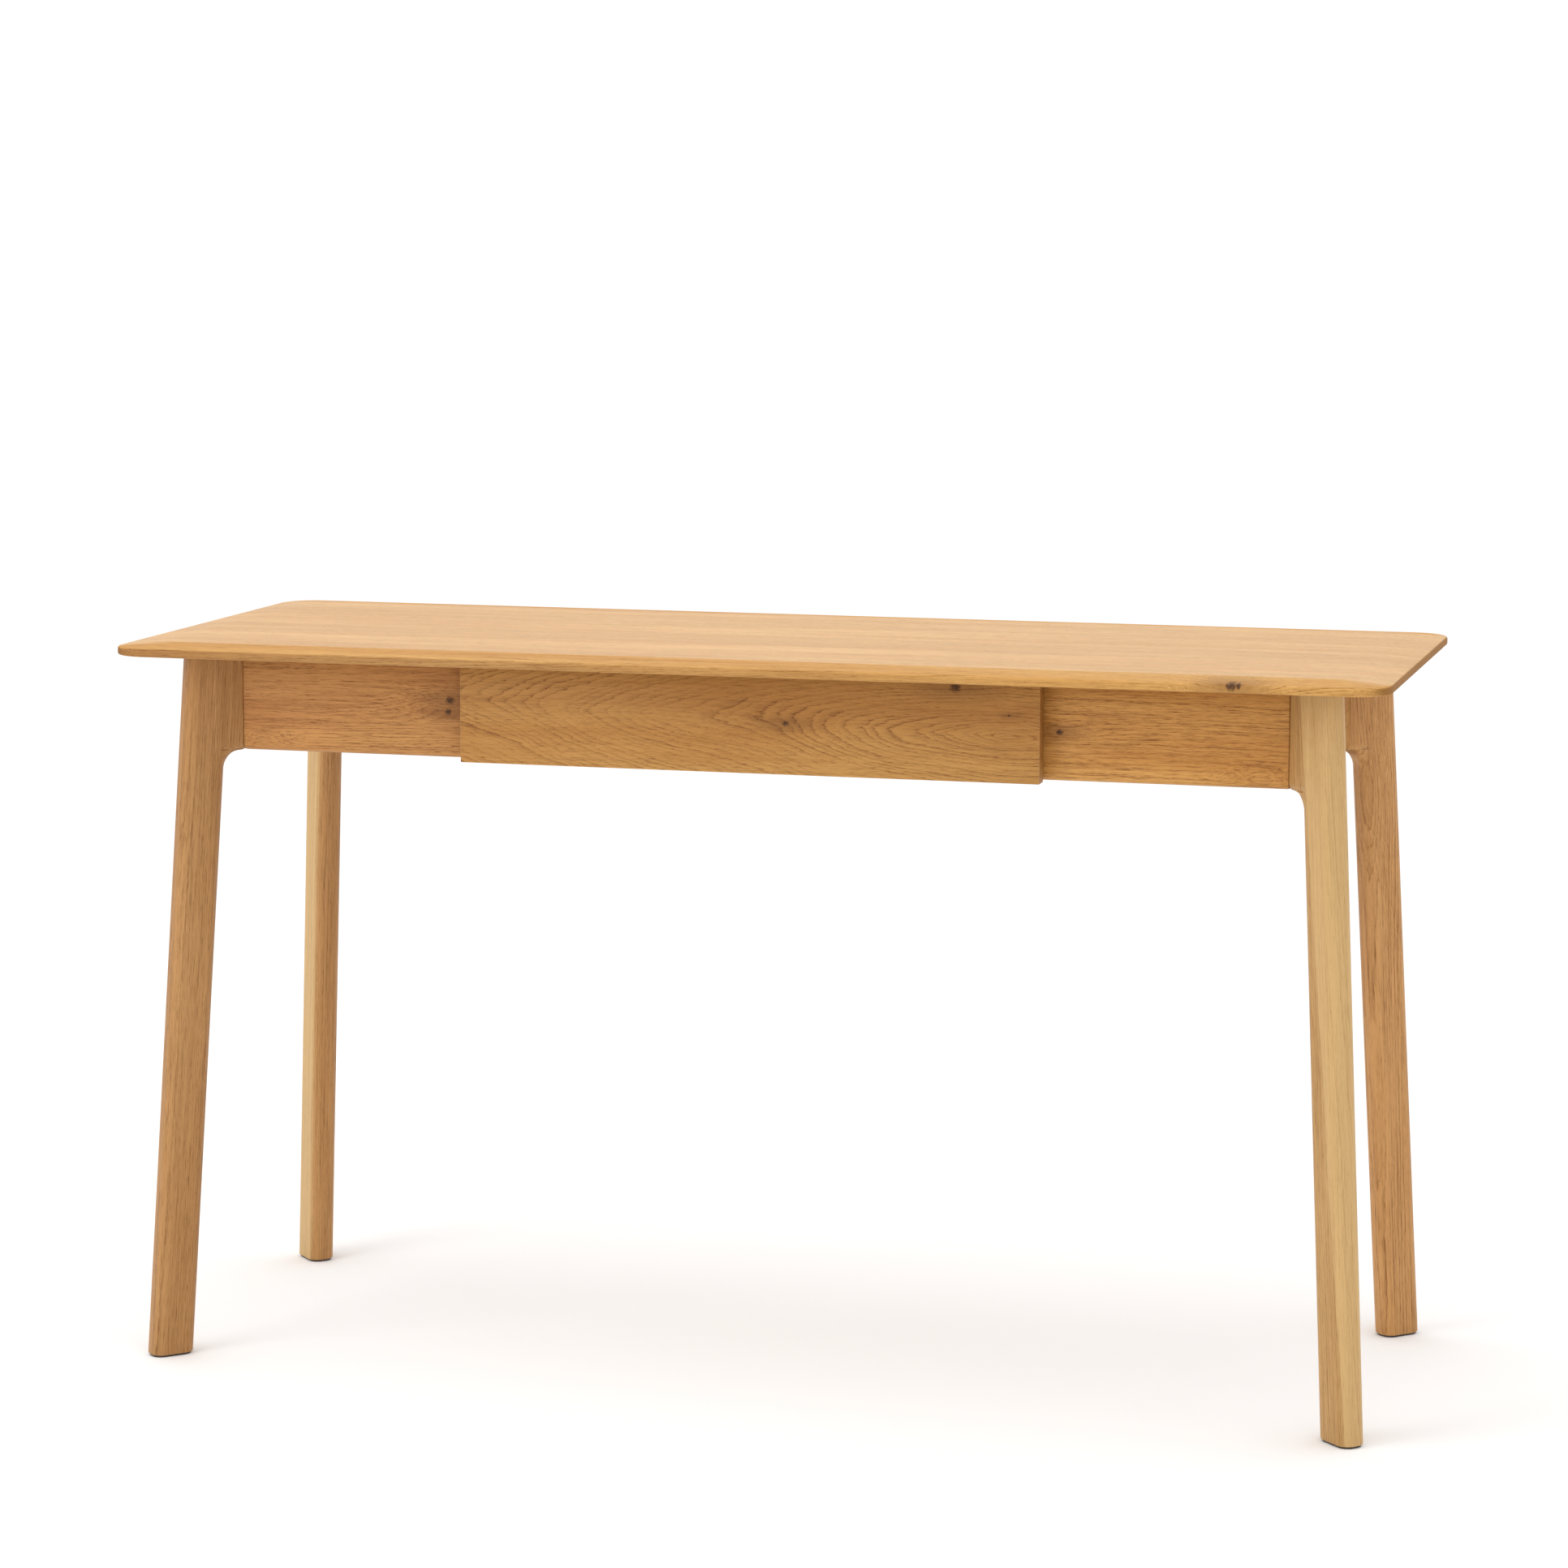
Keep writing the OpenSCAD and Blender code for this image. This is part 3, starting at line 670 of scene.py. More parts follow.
def new_group(name, inputs, outputs):
    """A node group with typed inputs and outputs: (tree, input node, output node)."""
    group = bpy.data.node_groups.new(name, "ShaderNodeTree")
    kinds = {"f": "NodeSocketFloat", "v": "NodeSocketVector", "c": "NodeSocketColor"}
    for label, kind in inputs:
        group.interface.new_socket(label, in_out="INPUT", socket_type=kinds[kind])
    for label, kind in outputs:
        group.interface.new_socket(label, in_out="OUTPUT", socket_type=kinds[kind])
    return Tree(group), group.nodes.new("NodeGroupInput"), group.nodes.new("NodeGroupOutput")


def new_material(name):
    """An empty material: itself, its tree and its shader."""
    material = bpy.data.materials.new(name)
    material.use_nodes = True
    return material, Tree(material.node_tree), material.node_tree.nodes["Principled BSDF"]


def to_linear(red, green, blue):
    """A colour given in 0 to 255 as the linear values that the shader wants."""
    steps = [c / 255 for c in (red, green, blue)]
    return tuple(c / 12.92 if c <= 0.04045 else ((c + 0.055) / 1.055) ** 2.4 for c in steps) + (1.0,)


def toned(colour, factor):
    """A linear colour made darker or lighter by a factor."""
    return tuple(factor * part for part in colour[:3]) + (1,)


def worn_and_highlit_edges(tree, colour, worn_highlight, radius, strength):
    """The colour, mixed with a lighter one along edges that a small radius, in metres, would round: partly
    wear, partly a painted highlight on the arrises.
    """
    eased = tree.node("ShaderNodeBevel", {"Radius": radius}, samples=4).outputs["Normal"]
    true = tree.node("ShaderNodeNewGeometry").outputs["Normal"]
    turn = tree.math("SUBTRACT", 1.0, tree.vector("DOT_PRODUCT", eased, true))
    return tree.mix(tree.ramp(turn, 0.01, 0.25, 0.0, strength), colour, worn_highlight)


def add_bump(tree, shader, height, strength, distance):
    """Fine relief on the shader's normal, distance in metres."""
    bump = tree.node("ShaderNodeBump", {"Height": height, "Strength": strength, "Distance": distance})
    tree.feed(shader.inputs["Normal"], bump.outputs["Normal"])


def paint(obj, material):
    """The material becomes the object's only one."""
    obj.data.materials.clear()
    obj.data.materials.append(material)


# Colours of three numbers are 0 to 255, colours of four numbers are linear
KNOT_BROWN = (0.16, 0.064, 0.016, 1)
KNOT_HEART = (0.05, 0.018, 0.005, 1)


def centred_noise(tree, place, stretch, detail, roughness=0.5):
    """Noise from -0.5 to 0.5."""
    return tree.math("SUBTRACT", tree.noise(place, stretch, detail, roughness), 0.5)


def along_x(tree, value):
    """A vector with the value as its X."""
    return tree.node("ShaderNodeCombineXYZ", {"X": value}).outputs[0]


def heart_distance(tree, take, drift):
    """Distance from the heart of the tree, with rings a little squared and wavy along the grain."""
    section = tree.vector("MULTIPLY", take["Rings"], (0, 1, 1))
    straight = tree.vector("DOT_PRODUCT", tree.vector("ABSOLUTE", section), (0, 0.3, 0.3))
    reach = tree.math("MULTIPLY_ADD", tree.vector("LENGTH", section), 0.72, straight)
    bent = tree.math("ADD", reach, drift)
    ripple = centred_noise(tree, take["Fibre"], (14, 60, 60), 3.0, 0.6)
    flutter = centred_noise(tree, take["Fibre"], (26, 180, 180), 2.0, 0.6)
    wobble = tree.math("MULTIPLY_ADD", flutter, 0.22, tree.math("MULTIPLY", ripple, 0.4))
    return tree.math("MULTIPLY_ADD", wobble, take["Wave"], bent)


def ring_line(tree, take, bent, flow):
    """Darkness of the growth rings: uneven years, each a sharp line that fades out over its early wood."""
    years = tree.noise(along_x(tree, bent), (95, 0, 0), 2.0)
    phase = tree.math("MULTIPLY_ADD", years, 2.8, tree.math("DIVIDE", bent, take["Pitch"]))
    feather = centred_noise(tree, flow, (70, 2200, 2200), 1.0)
    phase = tree.math("MULTIPLY_ADD", feather, 0.32, phase)
    ring = tree.math("FLOOR", phase)
    part = tree.math("FRACT", phase)
    seed = tree.node("ShaderNodeTexWhiteNoise", {"W": ring}, noise_dimensions="1D").outputs["Value"]
    thin = tree.math("MAXIMUM", tree.ramp(part, 0.93, 1.0), tree.ramp(part, 0.0, 0.2, 1.0, 0.0))
    soft = tree.ramp(part, 0.0, 0.8, 0.42, 0.0)
    line = tree.math("MULTIPLY_ADD", thin, 0.58, soft)
    line = tree.math("MULTIPLY", line, tree.math("MULTIPLY_ADD", seed, 0.7, 0.3))
    fade = tree.ramp(tree.noise(flow, (6, 45, 45), 2.0), 0.3, 0.62, 0.5, 1.15)
    return tree.math("MULTIPLY", line, fade)


def open_pores(tree, flow, line):
    """Open pores as short dashes along the grain, crowded in the early wood."""
    fine = tree.ramp(tree.noise(flow, (170, 2800, 2800), 1.0), 0.54, 0.72)
    coarse = tree.ramp(tree.noise(flow, (120, 1350, 1350), 1.0), 0.54, 0.72)
    crowd = tree.math("MULTIPLY_ADD", line, 0.75, 0.3)
    return tree.math("MULTIPLY", tree.math("MULTIPLY_ADD", fine, 0.6, coarse), crowd, clamp=True)


def grain_darkness(tree, take, flow, line, pores):
    """How far the wood goes from its light to its dark colour: rings, pores, dashes and long streaks."""
    streak = centred_noise(tree, flow, (7, 330, 330), 3.0, 0.65)
    dashes = tree.ramp(tree.noise(flow, (50, 1200, 1200), 3.0, 0.6), 0.47, 0.68)
    dark = tree.math("MULTIPLY", line, take["Line"])
    dark = tree.math("MULTIPLY_ADD", pores, take["Pore"], dark)
    dark = tree.math("MULTIPLY_ADD", dashes, take["Dash"], dark)
    return tree.math("MULTIPLY_ADD", streak, take["Streak"], dark, clamp=True)


def wood_colour(tree, take, bent, flow, dark):
    """Heartwood and sapwood in their slow changes of tone, darkened by the grain and browned by knots."""
    tone = tree.noise(flow, (2.2, 24, 24), 3.0)
    base = tree.mix(tree.ramp(tone, 0.3, 0.7), take["Light"], take["Warm"])
    sapwood = tree.ramp(tree.math("SUBTRACT", bent, take["Sap Edge"]), -0.003, 0.003)
    base = tree.mix(sapwood, base, take["Sap"])
    shade_dark = tree.mix(tree.math("MULTIPLY", sapwood, 0.55), take["Dark"], take["Sap"])
    colour = tree.mix(dark, base, shade_dark)
    colour = tree.mix(take["Core"], colour, KNOT_BROWN)
    return tree.mix(take["Heart"], colour, KNOT_HEART)


def oak_group():
    """Growth rings, pores, fibres and slow tone changes of oak, in a board's own space: X along the grain."""
    numbers = ("Pitch", "Wave", "Shift", "Core", "Heart", "Line", "Pore", "Dash", "Streak", "Sap Edge")
    inputs = [("Fibre", "v"), ("Rings", "v"), *((label, "f") for label in numbers)]
    inputs += [(label, "c") for label in ("Light", "Dark", "Warm", "Sap")]
    tree, given, result = new_group("oak", inputs, [("Color", "c"), ("Roughness", "f"), ("Height", "f")])
    take = given.outputs

    # Fibres drift slowly and bend round knots; the push is a distance across the grain
    slow = centred_noise(tree, take["Fibre"], (2.6, 11, 11), 2.0)
    push = tree.math("MULTIPLY", take["Shift"], take["Pitch"])
    drift = tree.math("MULTIPLY_ADD", slow, take["Wave"], push)
    aside = tree.node("ShaderNodeCombineXYZ", {"Y": drift, "Z": drift}).outputs[0]
    flow = tree.vector("ADD", take["Fibre"], aside)

    bent = heart_distance(tree, take, drift)
    line = ring_line(tree, take, bent, flow)
    pores = open_pores(tree, flow, line)
    dark = grain_darkness(tree, take, flow, line, pores)
    tree.feed(result.inputs["Color"], wood_colour(tree, take, bent, flow, dark))
    tree.feed(result.inputs["Roughness"], tree.math("MULTIPLY_ADD", pores, 0.15, 0.42))
    relief = tree.math("MULTIPLY_ADD", line, 0.35, pores)
    tree.feed(result.inputs["Height"], tree.math("SUBTRACT", 1.0, relief))
    return tree.tree


def knot_group():
    """A knot: how far it pushes the rings aside, its brown wood and its dark heart."""
    tree, given, result = new_group(
        "knot",
        [("Fibre", "v"), ("Centre", "v"), ("Shape", "v"), ("Size", "f"), ("Push", "f")],
        [("Shift", "f"), ("Core", "f"), ("Heart", "f")],
    )
    take = given.outputs
    place = tree.vector("SUBTRACT", take["Fibre"], take["Centre"])
    place = tree.vector("MULTIPLY", place, take["Shape"])
    inverse = tree.math("DIVIDE", 1.0, take["Size"])
    close = tree.vector("LENGTH", tree.scale(place, (0.8, 1, 1), inverse))
    smear = tree.vector("LENGTH", tree.scale(place, (0.28, 1, 1), inverse))
    rough = centred_noise(tree, take["Fibre"], (420, 420, 150), 2.0)
    edge = tree.math("MULTIPLY_ADD", rough, 0.9, close)
    bump = tree.math("EXPONENT", tree.math("MULTIPLY", tree.math("MULTIPLY", smear, smear), -0.12))
    tree.feed(result.inputs["Shift"], tree.math("MULTIPLY", bump, take["Push"]))
    core = tree.ramp(edge, 0.5, 1.3, 0.85, 0.0)
    halo = tree.ramp(tree.math("MULTIPLY_ADD", rough, 1.4, smear), 0.5, 3.2, 0.4, 0.0)
    tree.feed(result.inputs["Core"], tree.math("MAXIMUM", core, halo))
    ragged = tree.math("MULTIPLY_ADD", rough, 1.5, close)
    tree.feed(result.inputs["Heart"], tree.ramp(ragged, 0.15, 0.8, 0.85, 0.0))
    return tree.tree


OAK = oak_group()
KNOT = knot_group()

# Directions along, across and into a board, for grain along X or Y and for a board that lies flat
GRAIN_X = ((1, 0, 0), (0, 0, 1), (0, -1, 0))
GRAIN_Y = ((0, 1, 0), (0, 0, 1), (1, 0, 0))
GRAIN_X_FLAT = ((1, 0, 0), (0, 1, 0), (0, 0, 1))

# Lighter edge colours and their strengths: partly wear, partly a painted highlight
WORN_HIGHLIGHT_OAK = (0.80, 0.60, 0.36, 1)
WORN_HIGHLIGHT_STEEL = (0.82, 0.82, 0.8, 1)
EDGE_WEAR_HIGHLIGHT = 0.5
SEAM_WEAR_HIGHLIGHT = 0.08
# Painted shade multiplied into the top's bevel and band
BEVEL_SHADE = (0.7, 0.58, 0.44, 1)
BAND_SHADE = (0.68, 0.64, 0.68, 1)
END_DARK = 0.6
SAP_TONE = (198, 162, 108)
NO_SAP = 1000.0


def leaning(degrees_y=0.0, degrees_z=0.0):
    """A turn about a board's own Y and Z."""
    return Euler((0, math.radians(degrees_y), math.radians(degrees_z))).to_matrix()


def mapped(tree, place, turn, origin):
    """Coordinates turned by a matrix, with the origin (in millimetres, before the turn) as their new zero."""
    names = {"Vector": place, "Location": -(turn @ (Vector(origin) * MM)), "Rotation": turn.to_euler()}
    return tree.node("ShaderNodeMapping", names).outputs["Vector"]


def knot_values(tree, board, knots, swells, shape):
    """How far all knots push the rings aside, their brown wood and their dark hearts; swells only push."""
    shift, core, heart = 0.0, 0.0, 0.0
    for number, (*spot, size, push) in enumerate((*knots, *swells)):
        names = {"Fibre": board, "Centre": Vector(spot) * MM, "Shape": shape, "Size": size * MM, "Push": push}
        knot = tree.node("ShaderNodeGroup", names, node_tree=KNOT)
        shift = tree.math("ADD", knot.outputs["Shift"], shift)
        if number < len(knots):
            core = tree.math("MAXIMUM", knot.outputs["Core"], core)
            heart = tree.math("MAXIMUM", knot.outputs["Heart"], heart)
    return {"Shift": shift, "Core": core, "Heart": heart}


def rim_shade_and_roughness(tree, colour, rough, normal, place):
    """Painted shade and roughness of the top's rim: the bevel and band that lean to the front or the back are
    darkened, most at the left, and the bevel is rougher.
    """
    lean = tree.math("ABSOLUTE", tree.vector("DOT_PRODUCT", normal, (0, 1, 0)))
    bevel = tree.ramp(lean, 0.02, 0.07)
    band = tree.ramp(lean, 0.2, 0.9)
    to_right = tree.vector("DOT_PRODUCT", place, (1, 0, 0))
    bevel_share = tree.math("MULTIPLY", bevel, tree.ramp(to_right, -0.2, 0.6, 0.22, 0.07))
    band_share = tree.math("MULTIPLY", band, tree.ramp(to_right, -0.5, 0.55, 1.0, 0.0))
    # Painted shade: bevel and band darkened by a multiplied colour, fully at the left and fading out towards
    # the right
    for share, shade_factor in ((bevel_share, BEVEL_SHADE), (band_share, BAND_SHADE)):
        colour = tree.mix(share, colour, tree.mix(1.0, colour, shade_factor, "MULTIPLY"))
    return colour, tree.math("MULTIPLY_ADD", bevel, 0.4, rough, clamp=True)


def oak(
    name,
    tone,
    axes,
    centre,
    heart,
    tilt=0.0,
    turn=0.0,
    pitch=3.2,
    wave=8.0,
    line=0.5,
    pore=0.5,
    dash=0.2,
    streak=0.8,
    knots=(),
    swells=(),
    knot_shape=(1, 1, 0.2),
    seed=0.0,
    sap=NO_SAP,
    shine=0.25,
    depth=1.0,
    end=END_DARK,
    rim=False,
):
    """Oiled oak for one board.

    tone holds the light, dark and warm colours and depth makes all three lighter or darker.
    axes are along, across and into the board, centre is the zero of its coordinates in millimetres.
    heart is the tree's middle from there, across and into the board; tilt and turn lean it off the length.
    pitch is the mean ring width and wave how far the rings wander, both in millimetres.
    line, pore, dash and streak are the strengths of the rings, the pores and the two kinds of fibre marks.
    knots hold (along, across, into, size, push); swells are the same, for rings that bulge round no knot.
    sap is the distance from the heart where the sapwood starts; end is how much darker the end grain is.
    """
    material, tree, shader = new_material(name)
    place = tree.node("ShaderNodeTexCoord").outputs["Object"]
    board = mapped(tree, place, Matrix(axes), centre)
    light, dark, warm = (toned(to_linear(*part), depth) for part in tone)
    names = {
        "Fibre": tree.vector("ADD", board, (seed * 3.7, seed * 1.3, seed * 2.1)),
        "Rings": mapped(tree, board, leaning(tilt, turn), (0, *heart)),
        "Pitch": pitch * MM,
        "Wave": wave * MM,
        "Line": line,
        "Pore": pore,
        "Dash": dash,
        "Streak": streak,
        "Sap Edge": sap * MM,
        "Sap": to_linear(*SAP_TONE),
        "Light": light,
        "Dark": dark,
        "Warm": warm,
        **knot_values(tree, board, knots, swells, knot_shape),
    }
    grain = tree.node("ShaderNodeGroup", node_tree=OAK)
    for label, value in names.items():
        tree.feed(grain.inputs[label], value)

    # Cut ends are darker and duller
    normal = tree.node("ShaderNodeTexCoord").outputs["Normal"]
    facing = tree.vector("DOT_PRODUCT", normal, axes[0])
    end_grain = tree.ramp(tree.math("ABSOLUTE", facing), 0.4, 0.9, 0.0, end)
    colour = tree.mix(end_grain, grain.outputs["Color"], toned(dark, 0.8))
    rough = tree.math("MULTIPLY_ADD", end_grain, 0.5, grain.outputs["Roughness"], clamp=True)
    # Painted shade on the top's bevel and band
    if rim:
        colour, rough = rim_shade_and_roughness(tree, colour, rough, normal, place)
    # Edges lightened, partly wear and partly a painted highlight; on the top's boards only a little
    colour = worn_and_highlit_edges(tree, colour, WORN_HIGHLIGHT_OAK, 0.0012, SEAM_WEAR_HIGHLIGHT if rim else EDGE_WEAR_HIGHLIGHT)
    tree.feed(shader.inputs["Base Color"], colour)
    tree.feed(shader.inputs["Roughness"], rough)
    shader.inputs["Specular IOR Level"].default_value = shine
    add_bump(tree, shader, grain.outputs["Height"], 0.35, 0.0003)
    return material


TOP_TONE = ((203, 158, 92), (146, 98, 42), (193, 143, 76))
APRON_TONE = ((186, 138, 74), (114, 66, 20), (170, 118, 56))
ROSY_TONE = ((186, 135, 77), (112, 63, 24), (172, 116, 62))
LEG_TONE = ((186, 139, 86), (120, 76, 34), (174, 126, 73))
PALE_TONE = ((190, 150, 96), (140, 98, 52), (184, 142, 86))

# The figure of each board, in the words of oak()
TOP_FIGURE = [
    dict(
        heart=(-30, -60), turn=1.0, tilt=1.5, depth=1.05, knot_shape=(1, 0.25, 0.7),
        knots=[(501, -43, 4.5, 5.0, 3.5), (508, -41, 4.5, 3.0, 1.0)],
    ),
    dict(heart=(20, -70), turn=-0.6, depth=1.08),
    dict(heart=(-10, -55), turn=0.5, depth=1.03),
    dict(heart=(35, -80), turn=0.8, depth=1.08),
    dict(heart=(-25, -65), turn=-0.9, depth=1.04),
    dict(heart=(10, -75), turn=0.4, depth=1.07),
]
LEFT_FIGURE = dict(
    heart=(25, 60), turn=-1.5, pitch=2.4, pore=0.75, dash=0.5, streak=1.3, depth=1.06,
    knots=[(101, 12, 0, 5.2, 3.0), (99, 0, 0, 4.2, 2.0)],
    swells=[(-103, -36, 0, 3, 4)],
)
RIGHT_FIGURE = dict(
    heart=(-30, 50), turn=1.0, pitch=2.6, pore=0.8, dash=0.6, streak=1.3, depth=1.22,
    knots=[(-102, 2, 0, 4.0, 2.0)],
    swells=[(98, -36, 0, 3, 4)],
)
DRAWER_FIGURE = dict(
    heart=(0, 1), tilt=10.8, turn=1.8, pitch=3.4, wave=12, line=0.68, pore=0.65, dash=0.3, depth=0.99,
    end=0.2,
    knots=[(-228, 5, 0, 4.0, 1.4), (-55, 47, 0, 6, 1.4), (-1, 21, 0, 1.6, 0.5)],
    swells=[(-250, -18, 0, 7, 1.6), (-130, -20, 0, 6, -1.4), (-400, 0, 0, 9, -1.6), (-510, -10, 0, 8, 1.4)],
)
LEG_FIGURE = {
    "front_left": dict(tone=LEG_TONE, heart=(60, 25), turn=0.6, pitch=3.0, dash=0.45, streak=1.2, depth=0.91),
    "front_right": dict(
        tone=PALE_TONE, heart=(-70, -70), turn=3.0, pitch=2.6, line=0.8, dash=0.45, streak=1.6, depth=0.97,
        sap=92,
    ),
    "back_left": dict(
        tone=LEG_TONE, heart=(-20, -60), turn=-0.2, pitch=2.8, dash=0.35, streak=1.2, depth=0.96,
        sap=76,
    ),
    "back_right": dict(
        tone=LEG_TONE, heart=(30, 20), tilt=1.6, pitch=3.2, line=0.85, dash=0.4, streak=1.2, depth=1.12,
        swells=[(-46, -12, -14, 6.5, 3.0)],
    ),
}


def paint_top():
    """The top's boards in bright oak, each with its own figure, and painted shade on the rim's bevel and band
    across them all, strongest at the left.
    """
    board_w = 2 * TOP_HALF_Y / BOARD_COUNT
    shared = dict(line=0.7, pore=0.85, dash=0.45, streak=1.2, shine=0.4, end=0.85, rim=True)
    for number, (board, figure) in enumerate(zip(boards, TOP_FIGURE)):
        middle = (0, -TOP_HALF_Y + (number + 0.5) * board_w, DESK_H - 9)
        named = f"oak_top_{number + 1}"
        paint(board, oak(named, TOP_TONE, GRAIN_X_FLAT, middle, seed=number + 1, **shared, **figure))


def paint_aprons():
    """The aprons and the drawer front; each place is the zero of the board's own figure."""
    plans = [
        (front_left, "front_left", ROSY_TONE, GRAIN_X, (-418, -157, MID_Z), LEFT_FIGURE),
        (front_right, "front_right", APRON_TONE, GRAIN_X, (418, -157, MID_Z), RIGHT_FIGURE),
        (front, "drawer_front", APRON_TONE, GRAIN_X, (270, -175.5, 678), DRAWER_FIGURE),
        (back, "back", APRON_TONE, GRAIN_X, (0, 157, MID_Z), dict(heart=(-20, 60), turn=0.8)),
        (side_left, "side_left", APRON_TONE, GRAIN_Y, (-561, 0, MID_Z), dict(heart=(20, 50), turn=1.0)),
        (side_right, "side_right", APRON_TONE, GRAIN_Y, (561, 0, MID_Z), dict(heart=(-20, 55), turn=-1.0)),
    ]
    for number, (piece, named, tone, axes, middle, figure) in enumerate(plans):
        paint(piece, oak(f"oak_{named}", tone, axes, middle, seed=11 + number, **figure))


def paint_legs():
    """The legs, with the grain along each one's own lean."""
    slope = math.sin(SPLAY) / math.sqrt(2)
    for number, (corner, leg) in enumerate(legs.items()):
        sx, sy = CORNERS[corner]
        along = Vector((-sx * slope, -sy * slope, math.cos(SPLAY))).normalized()
        across = Vector((sx, sy, 0)).normalized()
        across = (across - along * across.dot(along)).normalized()
        axes = (along, across, along.cross(across))
        middle = (sx * (LEG_OFFSET + JOINT_X), sy * (LEG_OFFSET + JOINT_Y), APRON_Z)
        named = f"oak_leg_{corner}"
        paint(leg, oak(named, axes=axes, centre=middle, seed=21 + number, **LEG_FIGURE[corner]))


def paint_rails():
    """The rails, runners and buttons inside the frame."""
    plans = [
        (upper_rail, "rail_0", GRAIN_X, (0, -120, MID_Z)),
        (lower_rail, "rail_1", GRAIN_X, (0, -120, MID_Z)),
        (runners[0], "runner_0", GRAIN_Y, (0, 0, MID_Z)),
        (runners[1], "runner_1", GRAIN_Y, (0, 0, MID_Z)),
        (buttons, "buttons", GRAIN_X, (0, 0, 720)),
    ]
    for number, (piece, named, axes, middle) in enumerate(plans):
        paint(piece, oak(f"oak_{named}", TOP_TONE, axes, middle, heart=(30, 40), seed=31 + number))


paint_top()
paint_aprons()
paint_legs()
paint_rails()


def metal(name, light, dark, rough, stretch):
    """Zinc-plated steel with fine drawn lines, cloudy sheen and brighter edges, partly wear and partly a
    painted highlight.
    """
    material, tree, shader = new_material(name)
    place = tree.node("ShaderNodeTexCoord").outputs["Object"]
    drawn = tree.noise(place, stretch, 2.0)
    cloud = tree.noise(place, (60, 60, 60), 3.0)
    share = tree.math("MULTIPLY_ADD", drawn, 0.5, tree.math("MULTIPLY", cloud, 0.5))
    colour = tree.mix(tree.ramp(share, 0.3, 0.7), to_linear(*dark), to_linear(*light))
    # Brighter edges, partly wear and partly a painted highlight
    colour = worn_and_highlit_edges(tree, colour, WORN_HIGHLIGHT_STEEL, 0.0006, 0.5)
    tree.feed(shader.inputs["Base Color"], colour)
    tree.feed(shader.inputs["Roughness"], tree.math("MULTIPLY_ADD", cloud, 0.2, rough - 0.1))
    shader.inputs["Metallic"].default_value = 1.0
    add_bump(tree, shader, drawn, 0.2, 0.0001)
    return material


def felt():
    """Pressed dark felt with tangled fibres."""
    material, tree, shader = new_material("felt")
    place = tree.node("ShaderNodeTexCoord").outputs["Object"]
    fibres = tree.noise(place, (1900, 1900, 2600), 4.0, 0.7)
    cloud = tree.noise(place, (90, 90, 90), 2.0)
    share = tree.math("MULTIPLY_ADD", fibres, 0.7, tree.math("MULTIPLY", cloud, 0.3))
    colour = tree.mix(tree.ramp(share, 0.35, 0.65), to_linear(42, 35, 31), to_linear(84, 72, 63))
    tree.feed(shader.inputs["Base Color"], colour)
    shader.inputs["Roughness"].default_value = 0.95
    shader.inputs["Sheen Weight"].default_value = 0.3
    add_bump(tree, shader, fibres, 0.6, 0.0004)
    return material


ZINC = metal("zinc", (198, 196, 188), (158, 156, 150), 0.34, (300, 300, 300))
BRACKET_STEEL = metal("bracket_steel", (184, 184, 180), (146, 146, 144), 0.4, (900, 900, 60))
SLIDE_STEEL = metal("slide_steel", (190, 192, 194), (150, 152, 156), 0.3, (1400, 20, 1400))
CAGE_STEEL = metal("cage_steel", (166, 166, 166), (120, 120, 122), 0.32, (500, 120, 500))
BOX_TONE = ((214, 170, 112), (164, 116, 66), (206, 158, 98))
BEECH_TONE = ((212, 170, 124), (176, 128, 84), (206, 160, 112))


def finish_nodes(material, width, *nodes):
    """CAD nodes that stay in view: material, and eased edges when a width is given."""
    for node in nodes:
        paint(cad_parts[node], material)
        if width:
            soften(node, width)


def finish_fixings():
    """Felt pads, dowels, brackets and every screw, bolt, washer and nut."""
    finish_nodes(felt(), 0, "foot_pads")
    finish_nodes(oak("beech", BEECH_TONE, GRAIN_X, (0, 0, 700), (40, 40), line=0.15, pore=0.2), 0, "dowels")
    finish_nodes(BRACKET_STEEL, 0.4, "corner_brackets")
    finish_nodes(ZINC, 0.15, "hanger_bolts", "hanger_washers", "hanger_nuts")
    for name in ("bracket", "button", "rail", "slide_outer", "slide_inner", "drawer_front", "drawer_bottom"):
        finish_nodes(ZINC, 0.12, f"{name}_screws")


def finish_drawer():
    """The slides, their ball cages and the drawer box."""
    for number, side in enumerate(SIDES):
        finish_nodes(SLIDE_STEEL, 0.15, f"slide_outer_{side}", f"slide_middle_{side}", f"slide_inner_{side}")
        finish_nodes(CAGE_STEEL, 0, f"ball_cage_outer_{side}", f"ball_cage_inner_{side}")
        named = f"oak_box_{side}"
        box_side = oak(named, BOX_TONE, GRAIN_Y, (0, 0, MID_Z), (20, 60), turn=0.6, seed=41 + number)
        finish_nodes(box_side, 0.8, f"drawer_side_{side}")
    box_front = oak("oak_box_front", BOX_TONE, GRAIN_X, (0, -150, MID_Z), (-20, 50), seed=43)
    finish_nodes(box_front, 0.8, "drawer_box_front")
    box_back = oak("oak_box_back", BOX_TONE, GRAIN_X, (0, 90, MID_Z), (25, 50), turn=1.0, seed=44)
    finish_nodes(box_back, 0.8, "drawer_back")
    ply = oak("plywood", BOX_TONE, GRAIN_X_FLAT, (0, 0, 666), (60, -80), turn=1.2, pitch=5.0, seed=45)
    finish_nodes(ply, 0, "drawer_bottom")


finish_fixings()
finish_drawer()

# ---- Light, floor and camera ----

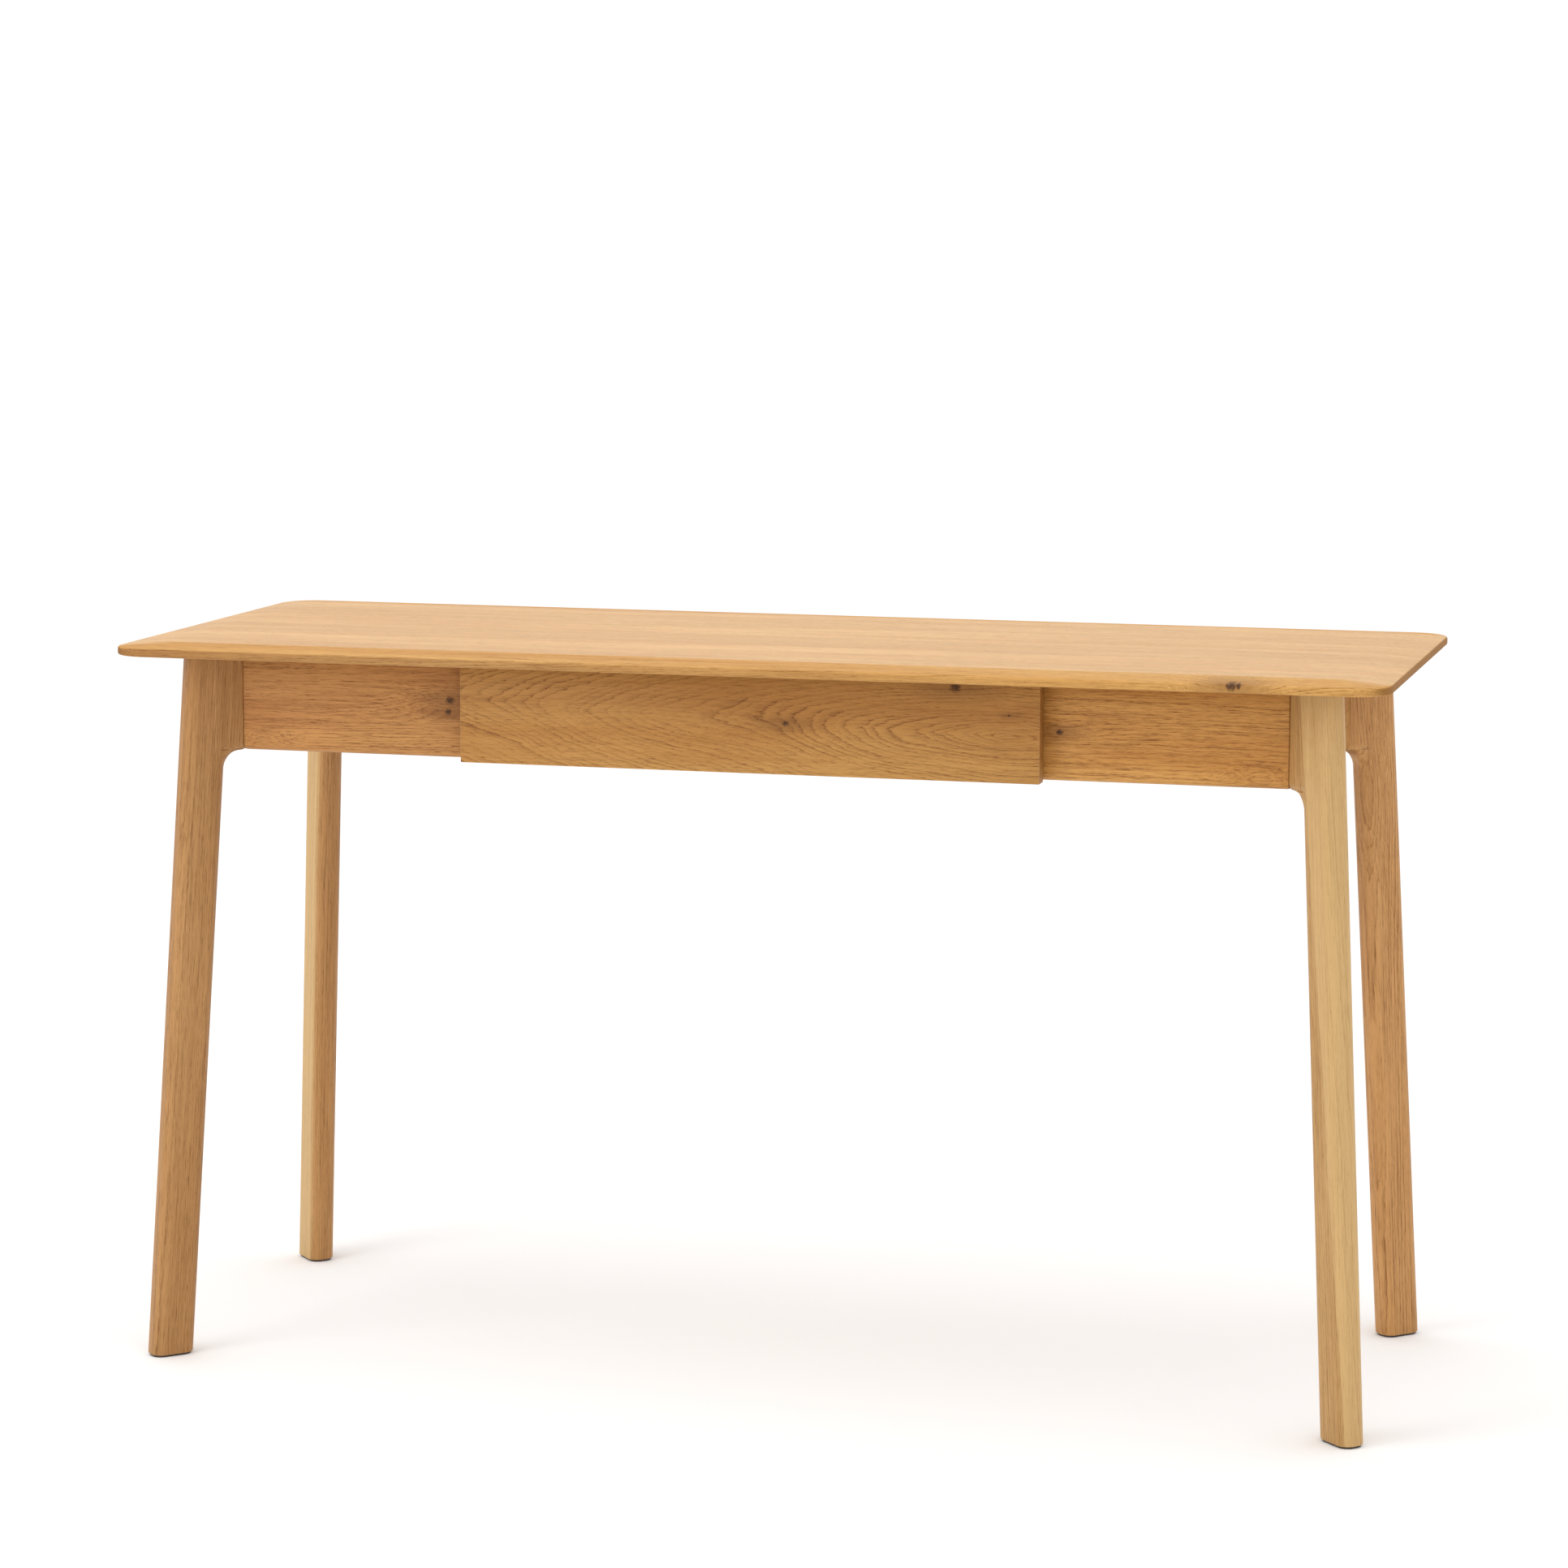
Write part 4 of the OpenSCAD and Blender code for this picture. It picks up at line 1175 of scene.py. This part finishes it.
# Places are in metres, turns in degrees and the lens in millimetres
WORLD_LIGHT = 1.12
FLOOR_R = 40
FLOOR_WHITE = (0.92, 0.92, 0.92, 1)
LENS = 100.92
EYE = (1.16837, -4.3626, 1.23942)
EYE_TURN = (81.9007, -0.0919, 15.0877)


def area_light(name, place, target, size, power):
    """A soft rectangular lamp that faces a point."""
    data = bpy.data.lights.new(name, "AREA")
    data.shape, data.size, data.size_y = "RECTANGLE", size[0], size[1]
    data.energy = power
    lamp = bpy.data.objects.new(name, data)
    bpy.context.scene.collection.objects.link(lamp)
    lamp.location = place
    lamp.rotation_euler = (Vector(target) - Vector(place)).to_track_quat("-Z", "Y").to_euler()


def surroundings():
    """White light from all round."""
    scene = bpy.context.scene
    scene.view_settings.view_transform = "Standard"
    world = bpy.data.worlds.new("studio")
    scene.world = world
    world.use_nodes = True
    sky = world.node_tree.nodes["Background"]
    sky.inputs["Color"].default_value = (1, 1, 1, 1)
    sky.inputs["Strength"].default_value = WORLD_LIGHT


def pale_floor():
    """A wide disc under the desk."""
    bm = bmesh.new()
    bmesh.ops.create_circle(bm, cap_ends=True, segments=96, radius=FLOOR_R)
    floor = object_from_bmesh("floor", bm)
    material, _, shader = new_material("pale_floor")
    shader.inputs["Base Color"].default_value = FLOOR_WHITE
    shader.inputs["Roughness"].default_value = 0.9
    paint(floor, material)


def studio():
    """Pale floor, white surroundings and soft lamps above and at the front left."""
    surroundings()
    pale_floor()
    area_light("overhead", (0, -0.2, 2.6), (0, 0, 0.7), (2.4, 1.6), 12)
    area_light("key", (-2.2, -2.4, 1.9), (0, 0, 0.5), (1.6, 1.6), 25)


def camera():
    """The camera at the photographed angle."""
    data = bpy.data.cameras.new("camera")
    data.lens, data.sensor_width = LENS, 36
    data.clip_end = 100
    eye = bpy.data.objects.new("camera", data)
    bpy.context.scene.collection.objects.link(eye)
    eye.location = EYE
    eye.rotation_euler = [math.radians(angle) for angle in EYE_TURN]
    bpy.context.scene.camera = eye


studio()
camera()
